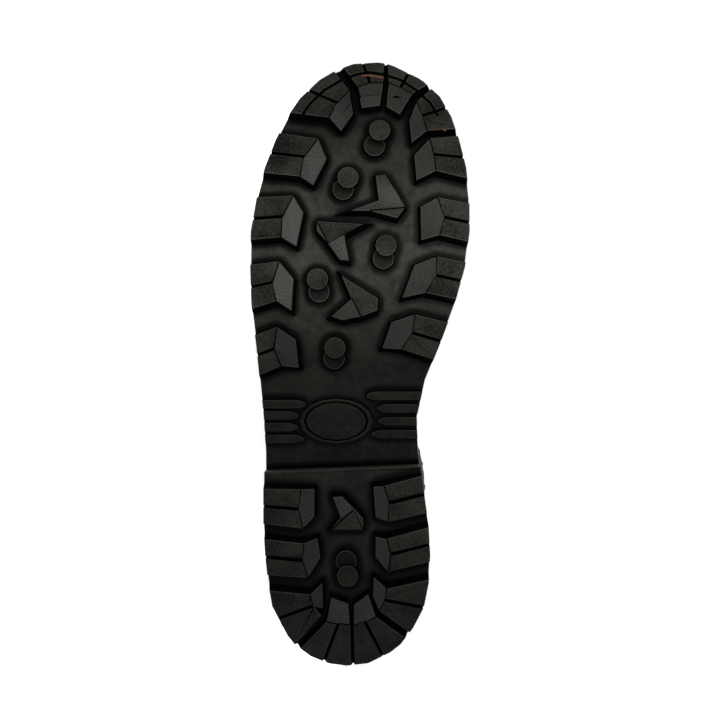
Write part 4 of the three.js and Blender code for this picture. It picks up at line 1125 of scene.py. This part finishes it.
# %% Counter sheet
counter_sections = np.linspace(9.5, 18.6, COUNTER_NET)
counter_ends = (np.full(COUNTER_NET, 0.5), np.full(COUNTER_NET, -math.pi - 0.5))
counter_angles = even_angles(counter_sections, *counter_ends, COUNTER_NET)
counter_bm = bmesh.new()
for offset in (STAY_TOP, GAP):
    add_grid(counter_bm, form(counter_sections[:, None], counter_angles, offset))
base_height = float(sole_top(0)) + COUNTER_BASE
edge_along = COUNTER_FRONT * np.sin(np.linspace(0, math.pi / 2, EDGE_STEPS))
edge_rise = base_height + counter_top(edge_along) * SHAFT_HEIGHT
edge = [Vector((0, y, z)) for y, z in zip(edge_along * SOLE_LENGTH, edge_rise)]
for near, far in zip(edge, edge[1:]):
    cut_away(counter_bm, near, Vector((0, near.z - far.z, far.y - near.y)).normalized())
cut_sole(counter_bm, COUNTER_BASE)
weld(counter_bm)
soften(counter_bm, 0.5)
print("counter's open edges", sum(edge.is_boundary for edge in counter_bm.edges))

# %% Counter seams
counter_rows = []
for side in (1, -1):
    for inset in COUNTER_SEAMS:
        rise = base_height + (edge_rise[:-1] - base_height) * inset
        counter_rows.append(on_form(*form_at(side, edge_along[:-1] * inset, rise), STAY_TOP + SEWN_LIFT))
sew(counter_bm, counter_rows, 1)
place_piece("heel_counter_leather", counter_bm, (trim.material, thread), ["heel_counter"])

# %% [markdown]
# The facing is one sheet round the throat: narrow and round at its foot, even beside the eyelets. It is
# built as two halves that meet at the middle of the vamp and are then welded, since each half is a simple
# net from the throat's edge to its own outer edge.

# %% Facing
STAY_WIDTH = 17.0
STAY_START = 8.75
STAY_ROUND = 0.75
STAY_FOOT = 1.2
STAY_COLUMNS = 14
STAY_SEAMS = (2.0, 4.4)


def stay_half(section):
    """Half the facing's width over both sides of the throat: round at its foot."""
    foot = np.clip((section - STAY_START) / STAY_ROUND, 0, 1)
    return STAY_FOOT + (THROAT_WIDTH / 2 + STAY_WIDTH - STAY_FOOT) * np.sqrt(1 - (1 - foot) ** 2)


stay_foot = STAY_START + 0.9 * np.linspace(0, 1, 40) ** 2
stay_sections = np.concatenate((stay_foot, np.linspace(9.68, COLLAR - 0.05, 110)))
stay_inner = throat_half(stay_sections)
closed = stay_inner < 0.01
first_open = max(0, int(np.argmax(~closed)) - 1)
stay_bm = bmesh.new()
for side in (1, -1):
    inner_x = np.where(closed, form(stay_sections, FRONT)[:, 0], side * stay_inner)
    outer_x = side * stay_half(stay_sections)
    across = inner_x[:, None] + (outer_x - inner_x)[:, None] * np.linspace(0, 1, STAY_COLUMNS)
    across = np.where(side * across > 0, across, side * 1e-3)
    angles = angle_beside(np.repeat(stay_sections[:, None], STAY_COLUMNS, 1), across)
    angles[closed, 0] = FRONT
    top, under = (add_grid(stay_bm, form(stay_sections[:, None], angles, offset)) for offset in (STAY_TOP, GAP))
    add_strip(stay_bm, top[0], under[0])
    add_strip(stay_bm, top[-1], under[-1])
    for column, start in ((-1, 0), (0, first_open)):
        add_strip(stay_bm, [line[column] for line in top[start:]], [line[column] for line in under[start:]])
weld(stay_bm)
soften(stay_bm, 0.45, least=60.0)
print("facing's open edges", sum(edge.is_boundary for edge in stay_bm.edges))

# %% Facing seams
outer_run = stay_sections[(stay_sections > STAY_START + 0.12) & (stay_sections < COLLAR - 0.2)]
inner_run = np.linspace(THROAT_START + 0.3, COLLAR - 0.2, 160)
for inset in STAY_SEAMS:
    sew(stay_bm, both_sides(outer_run, np.maximum(stay_half(outer_run) - inset, 0.5), STAY_TOP + SEWN_LIFT), 1)
sew(stay_bm, both_sides(inner_run, throat_half(inner_run) + 2.0, STAY_TOP + SEWN_LIFT), 1)
place_piece("facing_leather", stay_bm, (trim.material, thread), ["eyestay"])

# %% [markdown]
# The tongue is a padded strip behind the laces. Foam fills it between its seams, so it swells in the throat
# and at its rolled upper end, and stays flat under the facing where the laces press it. Cloth physics could
# blow it up, but a swell written as a sum keeps its thickness known and gives the same form every time.

# %% Tongue
TONGUE_THICKNESS = 4.0
TONGUE_HALF = 26.0
TONGUE_START = 8.5
TONGUE_END = COLLAR + 0.7
TONGUE_ROWS = 130
TONGUE_COLUMNS = 37
TONGUE_SWELL = 2.0
TONGUE_ROLL = 1.6
TONGUE_OUTSIDE = -UPPER_WALL - GAP
tongue_across = np.linspace(-TONGUE_HALF, TONGUE_HALF, TONGUE_COLUMNS)
tongue_net = np.repeat(np.linspace(TONGUE_START, TONGUE_END, TONGUE_ROWS)[:, None], TONGUE_COLUMNS, 1)
tongue_angles = angle_beside(tongue_net, np.repeat(tongue_across[None, :], TONGUE_ROWS, 0), -UPPER_WALL)
free = around(tongue_net, THROAT_START + 0.25, THROAT_START + 1.0)
pillow = np.clip(1 - (tongue_across / (THROAT_WIDTH / 2 - 0.6)) ** 2, 0, 1) ** 0.7
quilt = 1 - 0.5 * np.exp(-((tongue_net % 2.2 - 1.1) / 0.09) ** 2)
above = around(tongue_net, COLLAR - 0.1, COLLAR + 0.15)
edge = np.clip(1 - (tongue_across / TONGUE_HALF) ** 6, 0, 1) ** 0.5
roll = above * edge * TONGUE_ROLL * np.sin(np.clip((tongue_net - COLLAR - 0.1) / 0.6, 0, 1) * math.pi) ** 0.6
swell = free * pillow * TONGUE_SWELL * quilt * (1 - above) + roll
tongue_bm = bmesh.new()
tongue_skins = [
    form(tongue_net, tongue_angles, offset)
    for offset in (TONGUE_OUTSIDE + swell, TONGUE_OUTSIDE - TONGUE_THICKNESS - roll)
]
add_slab(tongue_bm, *tongue_skins, 1)
weld(tongue_bm, 0.002)
soften(tongue_bm, 1.1, 3)
run = np.linspace(COLLAR + 0.05, TONGUE_END - 0.12, 30)
sew(tongue_bm, both_sides(run, TONGUE_HALF - 3.0, -UPPER_WALL + 0.2, -UPPER_WALL), 2)
tongue_finishes = (trim.material, lining, thread)
tongue_piece = place_piece("tongue_padded", tongue_bm, tongue_finishes, ["tongue"])

# %% [markdown]
# The collar's cuff is a foam roll in a woven cover, quilted along its middle so that it makes two soft
# rolls that pucker beside the seam. It runs round the back from one side of the facing to the other. Its
# section is a formula in two directions: the rolls across it, and the puckers along it.

# %% Collar cuff
CUFF_THICKNESS = 5.5
CUFF_SEAT = 0.5
CUFF_STARTS = (COLLAR - 1.25, COLLAR - 3.8)
CUFF_END = COLLAR + 0.05
CUFF_TURNS = 260
CUFF_LINES = 40
CUFF_ROUND = 0.018
CUFF_WEAVE = 260.0
CUFF_UNSEWN = 6
RING_STEP = math.pi / 12

cuff = Finish("cuff_textile", rough=0.85, specular=0.25)
cuff_warp, cuff_weft = (cuff.wave(cuff.place(), CUFF_WEAVE, 0.6, way) for way in "YX")
cuff_weave = cuff_warp.high(cuff_weft)
cuff.colours(cuff_weave * 0.45 + cuff.noise(0.02, 3.0) * 0.55, (0.2, (20, 19, 18)), (0.8, (56, 52, 48)))
cuff.bump(cuff_weave, 0.0002)

# %% The cuff's two rolls
cuff_beside = angle_beside(COLLAR, THROAT_WIDTH / 2 + STAY_WIDTH + CUFF_THICKNESS, from_ridge=True)
cuff_reach = math.floor(float(cuff_beside) / RING_STEP) * RING_STEP
cuff_angles = np.linspace(cuff_reach, -math.pi - cuff_reach, CUFF_TURNS)
cuff_run = np.linspace(0, 1, CUFF_TURNS)
cuff_end = 1 - np.clip(np.minimum(cuff_run, 1 - cuff_run) / CUFF_ROUND, 0, 1)
rise = np.linspace(0, 1, CUFF_LINES)
proud = np.clip(1 - np.abs(2 * rise - 1) ** 3.4, 0, 1) ** 0.6
seam = np.exp(-(((rise - 0.5) / 0.045) ** 2))
beside = np.exp(-(((np.abs(rise - 0.5) - 0.1) / 0.07) ** 2))
pucker = 0.06 * np.sin(cuff_angles * 57) + 0.04 * np.sin(cuff_angles * 91 + 1.3)
fat = np.sqrt(1 - cuff_end**2)[:, None] * (proud * (1 - 0.42 * seam) + pucker[:, None] * beside)
cuff_start = CUFF_STARTS[0] + (CUFF_STARTS[1] - CUFF_STARTS[0]) * (1 + np.sin(cuff_angles)) / 2
cuff_sections = cuff_start[:, None] + (CUFF_END - cuff_start)[:, None] * rise
cuff_bm = bmesh.new()
add_slab(cuff_bm, *(form(cuff_sections, cuff_angles[:, None], CUFF_SEAT + CUFF_THICKNESS * t) for t in (fat, 0)))
weld(cuff_bm, 0.004)
sewn = slice(CUFF_UNSEWN, -CUFF_UNSEWN)
cuff_middle = (cuff_start + CUFF_END) / 2
sew(cuff_bm, [on_form(cuff_middle[sewn], cuff_angles[sewn], CUFF_SEAT + CUFF_THICKNESS * 0.58 + 0.1)], 1)
cuff_finishes = (cuff.material, thread)
cuff_piece = place_piece("collar_cuff_padded", cuff_bm, cuff_finishes, ["collar_cuff"])

# %% [markdown]
# The welt is the strip that joins the upper to the sole. Its rim follows the sole's outline and its inner
# edge the last, so its width is measured at every place round the boot. The table gives the outline: a share
# of the sole's length, then the outer and the inner half in shares of the ball's width.

# %% Outline of the welt
WELT_INSET = 0.6
WELT_STEPS = 420
OUTLINE = np.array([
    [0, 0.016, -0.016],
    [0.008, 0.136, 0.118],
    [0.028, 0.227, 0.209],
    [0.048, 0.286, 0.259],
    [0.087, 0.345, 0.327],
    [0.126, 0.368, 0.355],
    [0.205, 0.391, 0.364],
    [0.264, 0.395, 0.345],
    [0.323, 0.392, 0.322],
    [0.399, 0.4, 0.308],
    [0.44, 0.407, 0.325],
    [0.48, 0.418, 0.356],
    [0.52, 0.427, 0.404],
    [0.56, 0.438, 0.438],
    [0.599, 0.45, 0.482],
    [0.638, 0.452, 0.514],
    [0.677, 0.455, 0.532],
    [0.717, 0.45, 0.545],
    [0.756, 0.432, 0.545],
    [0.796, 0.405, 0.536],
    [0.836, 0.372, 0.521],
    [0.876, 0.325, 0.488],
    [0.916, 0.268, 0.45],
    [0.937, 0.228, 0.415],
    [0.958, 0.173, 0.356],
    [0.979, 0.095, 0.288],
    [1, -0.088, 0.088],
])
print("outline places", len(OUTLINE))

# %% Width of the welt
outer_half = np.stack((OUTLINE[:, 1] * BALL_WIDTH, OUTLINE[:, 0] * SOLE_LENGTH), -1)
inner_half = np.stack((-OUTLINE[:, 2] * BALL_WIDTH, OUTLINE[:, 0] * SOLE_LENGTH), -1)
heel, tip = ((outer_half[end] + inner_half[end]) / 2 for end in (0, -1))
rim = smooth_line(np.vstack((heel, outer_half[1:-1], tip, inner_half[-2:0:-1])), WELT_STEPS, closed=True)
rim_way = np.roll(rim, -1, axis=0) - np.roll(rim, 1, axis=0)
rim_way /= np.linalg.norm(rim_way, axis=1, keepdims=True)
rim_in = np.stack((-rim_way[:, 1], rim_way[:, 0]), -1)
foot_net = form(np.linspace(0, 17, 240)[:, None], np.linspace(0, 2 * math.pi, 400)[None, :], GAP)
foot_rise = foot_net[..., 2] - sole_top(foot_net[..., 1])
foot_line = foot_net[np.abs(foot_rise - GAP - WELT_THICKNESS) < 0.7][:, :2]
width = np.array([np.min(np.linalg.norm(foot_line - place, axis=1)) for place in rim])
for smoothing in range(3):
    width = (np.roll(width, 1) + width + np.roll(width, -1)) / 3
print("welt width", width.min().round(1), "to", width.max().round(1), "mm")

# %% [markdown]
# The welt's section has a rounded rim and a groove with a row of heavy stitches. It is one profile carried
# round the outline. At the toe, a stitch or two of rusty thread shows through the tread, so short tubes lie
# in the groove there, at the depth that a ray finds.

# %% Welt
WELT_TOP = GAP + WELT_THICKNESS
WELT_PROFILE = [
    (0.0, 0.0, GAP),
    (0.0, 0.0, GAP + 0.5),
    (0.0, 0.0, GAP + 3.3),
    (0.7, 0.0, WELT_TOP),
    (0.0, 0.3, WELT_TOP),
    (0.0, 0.4, WELT_TOP - 0.5),
    (0.0, 0.56, WELT_TOP - 0.5),
    (0.0, 0.66, WELT_TOP),
    (0.0, 0.97, WELT_TOP),
    (0.0, 0.97, GAP),
]
TOE_THREAD = [
    [(-5.6, 301.9), (-8.5, 302.2), (-11.5, 301.9), (-14.5, 301.4), (-17.4, 300.9)],
    [(-47.6, 273.4), (-49.3, 273.0)],
]
TOE_THREAD_RADIUS = 0.36


def welt_line(fixed, share, height):
    """A line round the boot: a fixed inset and a share of the welt's width in from its rim."""
    line = rim + rim_in * (WELT_INSET + fixed + share * np.maximum(width - WELT_INSET, 1.5))[:, None]
    return np.column_stack((line, sole_top(line[:, 1]) + height))


welt_bm = bmesh.new()
welt_net = [[welt_bm.verts.new(place) for place in welt_line(*stop)] for stop in WELT_PROFILE]
for line, following in zip(welt_net, welt_net[1:] + welt_net[:1]):
    add_strip(welt_bm, line, following, closed=True)
weld(welt_bm, 0.002)
for line in TOE_THREAD:
    floors = [tread_tree.ray_cast(Vector((x, y, -30.0)), Vector((0.0, 0.0, 1.0)))[0].z for x, y in line]
    depth = float(np.median(floors)) - 0.4
    add_tube(welt_bm, [(x, y, depth) for x, y in line], TOE_THREAD_RADIUS, 10, 2)
sewn_line = welt_line(0.0, 0.48, WELT_TOP - 0.25)
sewn_line = np.vstack((sewn_line, sewn_line[:1]))
sew(welt_bm, [(sewn_line, [(0, 0, 1)] * len(sewn_line))], 1, pitch=4.6, length=3.8, thickness=1.2)
print("toe thread lies at", round(depth, 1), "mm")

# %% Welt leather
welt_finish = Finish("welt_leather", coat=0.15, coat_rough=0.4)
welt_grain = welt_finish.noise(0.0012, 3.0)
welt_tone = welt_finish.noise(0.02, 3.0) * 0.7 + welt_grain * 0.3
welt_finish.colours(welt_tone, (0.25, (30, 20, 14)), (0.75, (66, 44, 29)))
welt_finish.feed("Roughness", 0.45 + welt_grain * 0.2)
welt_finish.bump(welt_grain, 0.0002)
rust = nap_finish("toe_thread", 0.7, 0.2, 0.0007, 2.0, (58, 30, 20), (96, 54, 36), 0.0)
place_piece("welt_sewn", welt_bm, (welt_finish.material, thread, rust), ["welt"])

# %% [markdown]
# The insole is a flat felt bed inside. Nothing of it shows but a glimpse through the collar, so the model's
# solid is kept and only its edge is rounded.

# %% Insole
felt = nap_finish("insole_felt", 0.95, 0.2, 0.0015, 4.0, (58, 56, 54), (96, 92, 87), 0.0005)
insole_bm = from_solid("insole")
weld(insole_bm)
soften(insole_bm, 0.8, 3)
place_piece("insole_felt", insole_bm, [felt], ["insole"])

# %% [markdown]
# The pull loop is one strip of webbing, folded over the back of the collar and sewn down outside.
# A flat strip is swept along a smooth curve through a few places on the form. Its ribs run along it, so the
# strip's own map gives the weave its way.

# %% Pull loop
LOOP_WIDTH = 18.0
LOOP_THICKNESS = 2.0
LOOP_OUT = [(-1.7, 1, 0), (-0.7, 1, 0.5), (0.4, 1, -0.5), (0.75, 0.5, 0)]
LOOP_IN = [(0.4, 0, 0.5), (-0.1, 0, 0), (-1, 0, 0)]
LOOP_STEPS = 90
LOOP_LINES = 13
LOOP_BOX = (3, 17)
LOOP_BOX_HALF = 6.5

webbing = Finish("loop_webbing", rough=0.75, specular=0.3)
webbing_map = webbing.node("ShaderNodeUVMap", uv_map="strip")["UV"]
webbing_picks = webbing.wave(webbing_map, 3.1, 0.3, "DIAGONAL")
webbing_weave = webbing.wave(webbing_map, 2.2, 0.3, "X") * 0.6 + webbing_picks * 0.4
webbing.colours(webbing_weave, (0.1, (18, 17, 16)), (0.9, (58, 54, 50)))
webbing.bump(webbing_weave, 0.0003)

# %% The loop's strip
loop_middle = COLLAR - 0.5
bow_angle = angle_beside(loop_middle, LOOP_WIDTH / 2, -UPPER_WALL, BACK, True)
loop_bow = float(form(loop_middle, bow_angle, -UPPER_WALL)[1] - form(loop_middle, BACK, -UPPER_WALL)[1])
loop_outside = CUFF_SEAT + CUFF_THICKNESS + GAP + LOOP_THICKNESS / 2
loop_inside = -UPPER_WALL - 2 * GAP - LOOP_THICKNESS / 2 - loop_bow
loop_points = [
    form(COLLAR + past, BACK, loop_inside + (loop_outside - loop_inside) * side + lift * LOOP_THICKNESS)
    for past, side, lift in LOOP_OUT + LOOP_IN
]
loop_line = smooth_line(loop_points, LOOP_STEPS)
loop_line[:, 0] = 0.0
loop_way = np.gradient(loop_line, axis=0)
loop_way /= np.linalg.norm(loop_way, axis=1, keepdims=True)
loop_face = np.stack((np.zeros(LOOP_STEPS), -loop_way[:, 2], loop_way[:, 1]), -1)
loop_across = np.linspace(-1, 1, LOOP_LINES)
loop_fat = 0.5 * LOOP_THICKNESS * (1 - 0.35 * np.abs(loop_across) ** 6)
loop_sides = []
for sign in (1, -1):
    net = loop_line[:, None, :] + loop_face[:, None, :] * (sign * loop_fat)[None, :, None]
    net[..., 0] = loop_across * LOOP_WIDTH / 2
    loop_sides.append(net)
loop_bm = bmesh.new()
loop_map = loop_bm.loops.layers.uv.new("strip")
add_slab(loop_bm, *loop_sides)
weld(loop_bm, 0.002)
loop_run = run_along(loop_line)
for face in loop_bm.faces:
    for corner in face.loops:
        gaps = np.linalg.norm(loop_line[:, 1:] - np.array(corner.vert.co)[1:], axis=1)
        corner[loop_map].uv = (corner.vert.co.x, loop_run[int(np.argmin(gaps))])


print("loop strip is", round(float(loop_run[-1])), "mm long")

# %% Loop seams
def on_loop(x, step):
    """A place on the loop's outer face and the way it faces, for a stitch."""
    return loop_line[step] + loop_face[step] * (LOOP_THICKNESS / 2) + np.array((x, 0, 0)), loop_face[step]


box_sides = [[on_loop(out * LOOP_BOX_HALF, step) for step in range(*LOOP_BOX)] for out in (-1, 1)]
box_sides += [[on_loop(x, step) for x in np.linspace(-LOOP_BOX_HALF, LOOP_BOX_HALF, 9)] for step in LOOP_BOX]
sew(loop_bm, [tuple(zip(*row)) for row in box_sides], 1, pitch=2.6, length=2.1, thickness=0.7)
place_piece("pull_loop_webbing", loop_bm, (webbing.material, thread), ["pull_loop"])

# %% [markdown]
# Eyelets are brass rings rolled over the leather's edge. One ring is turned once as a profile, and geometry
# nodes set a copy on each of the fourteen places, turned to face out, because all of them are alike.

# %% Eyelets
EYELET_PAIRS = 7
EYELET_RADIUS = 4.6
EYELET_BORE = 2.4
EYELET_FIRST = THROAT_START + 0.7
EYELET_LAST = COLLAR - 0.6
EYELET_ACROSS = THROAT_WIDTH / 2 + STAY_WIDTH / 2
EYELET_FLAT = (1.0, 1.0, 0.72)

brass = Finish("eyelet_metal", metal=1.0)
brass_wear = brass.noise(0.0025)
brass.colours(brass_wear, (0.25, (88, 70, 44)), (0.6, (150, 122, 76)), (0.85, (190, 160, 108)))
brass.feed("Roughness", 0.22 + brass_wear * 0.3)
brass.bump(brass_wear, 0.00008)


def ring_tree():
    """Sets a rolled ring on every point, facing the way its point faces."""
    nodes, given, points = point_tree("rings", ("Bore", "Roll"))
    middle = {"Resolution": 40, "Radius": given["Bore"] + given["Roll"]}
    circles = (middle, {"Resolution": 12, "Radius": given["Roll"]})
    path, profile = (nodes.node("GeometryNodeCurvePrimitiveCircle", circle)["Curve"] for circle in circles)
    ring = nodes.node("GeometryNodeCurveToMesh", {"Curve": path, "Profile Curve": profile})["Mesh"]
    flat = nodes.node("GeometryNodeTransform", {"Geometry": ring, "Scale": EYELET_FLAT})["Geometry"]
    way = {"Vector": stored(nodes, "face")}
    turn = nodes.node("FunctionNodeAlignRotationToVector", way, axis="Z")["Rotation"]
    wanted = {"Points": points, "Instance": flat, "Rotation": turn}
    return end_tree(nodes, given, nodes.node("GeometryNodeInstanceOnPoints", wanted)["Instances"])


# %% Eyelet places
eyelet_sections = EYELET_FIRST + (EYELET_LAST - EYELET_FIRST) * np.arange(EYELET_PAIRS) / (EYELET_PAIRS - 1)
eyelet_spots = {}
for side in (1, -1):
    eyelet_angles = angle_beside(eyelet_sections, side * EYELET_ACROSS, STAY_TOP, FRONT, True)
    for pair, spot in enumerate(zip(*on_form(eyelet_sections, eyelet_angles, STAY_TOP + 0.25))):
        eyelet_spots[pair, side] = spot
spots, faces = zip(*eyelet_spots.values())
ring_sizes = {"Bore": EYELET_BORE, "Roll": (EYELET_RADIUS - EYELET_BORE) / 2, "Material": brass.material}
eyelet_bm = bmesh.new()
eyelet_bm.from_mesh(grow(ring_tree(), spots, {"face": faces}, **ring_sizes))
eyelet_nodes = [f"eyelet_{word}_{pair + 1}" for pair in range(EYELET_PAIRS) for word in ("outer", "inner")]
place_piece("eyelets_metal", eyelet_bm, [brass.material], eyelet_nodes)

# %% [markdown]
# The lace starts as a bar over the lowest pair. From each eyelet it crosses the tongue, dips under the other
# side of the facing and comes up through the next eyelet, so the crossings pull the throat together. Both
# ends stop inside the top pair. A smooth curve through a few heights over the form makes each crossing, and
# one strand is lifted over the other where they meet.

# %% Lace
LACE_RADIUS = 1.7
LACE_CROSS = 1.45
LACE_SIDES = 12
LACE_STEPS = 64
RISING = [(0.16, -0.72, 1.9), (0.32, -0.36, 2.6), (0.5, 0.0, 1.4)]
DIPPING = [(0.64, 0.3, 0.0), (0.78, 0.6, -3.4), (0.9, 0.85, -4.6)]
BAR = (-0.72, -0.35, 0.01, 0.35, 0.72)

cord = Finish("lace_cord", rough=0.8, specular=0.3)
cord_twist = cord.wave(cord.node("ShaderNodeUVMap", uv_map="strip")["UV"], 0.5, 0.4, "DIAGONAL")
cord.colours(cord_twist * 0.5 + cord.noise(0.0015, 3.0) * 0.5, (0.3, (54, 38, 22)), (0.7, (128, 94, 58)))
cord.bump(cord_twist, 0.0003)


# %% The lace's way
def through(pair, side, *lifts):
    """Places on an eyelet's axis, some millimetres out from the form."""
    spot, face = eyelet_spots[pair, side]
    return [spot + face * lift for lift in lifts]


def over_tongue(section, across, lift):
    """A place over the throat, across it by a share of the way to the eyelets."""
    return form(section, angle_beside(section, EYELET_ACROSS * across, STAY_TOP, FRONT, True), STAY_TOP + lift)


def crossing(pair, side, over):
    """The lace's way from one eyelet over the tongue, under the facing and up through the next one."""
    start, end = eyelet_sections[pair], eyelet_sections[pair + 1]
    places = through(pair, side, -3.0, 0.2, 2.0)
    for along, across, lift in RISING + DIPPING:
        lift += LACE_CROSS * over if across == 0 else 0.0
        places.append(over_tongue(start + (end - start) * along, -side * across, lift))
    return places + through(pair + 1, -side, -4.4, -2.0, 0.6)


bar = [over_tongue(eyelet_sections[0], across, 2.5) for across in BAR]
lace_ways = [through(0, -1, -3.0, 0.2, 1.9) + bar + through(0, 1, 1.9, 0.2, -3.0)]
for pair in range(EYELET_PAIRS - 1):
    lace_ways += [crossing(pair, side, side * (1 if pair % 2 else -1)) for side in (1, -1)]
print("lace strands", len(lace_ways))

# %% Lace cord
lace_bm = bmesh.new()
lace_map = lace_bm.loops.layers.uv.new("strip")
for way in lace_ways:
    run = smooth_line(way, LACE_STEPS)
    before = len(lace_bm.verts)
    add_tube(lace_bm, run, LACE_RADIUS, LACE_SIDES)
    lace_bm.verts.ensure_lookup_table()
    lengths = run_along(run)
    for index in range(before, len(lace_bm.verts)):
        ring, turn = divmod(index - before, LACE_SIDES)
        for corner in lace_bm.verts[index].link_loops:
            corner[lace_map].uv = (turn * 2 * math.pi * LACE_RADIUS / LACE_SIDES, lengths[ring])
bmesh.ops.recalc_face_normals(lace_bm, faces=lace_bm.faces)
place_piece("lace_cord", lace_bm, [cord.material], ["lace"])
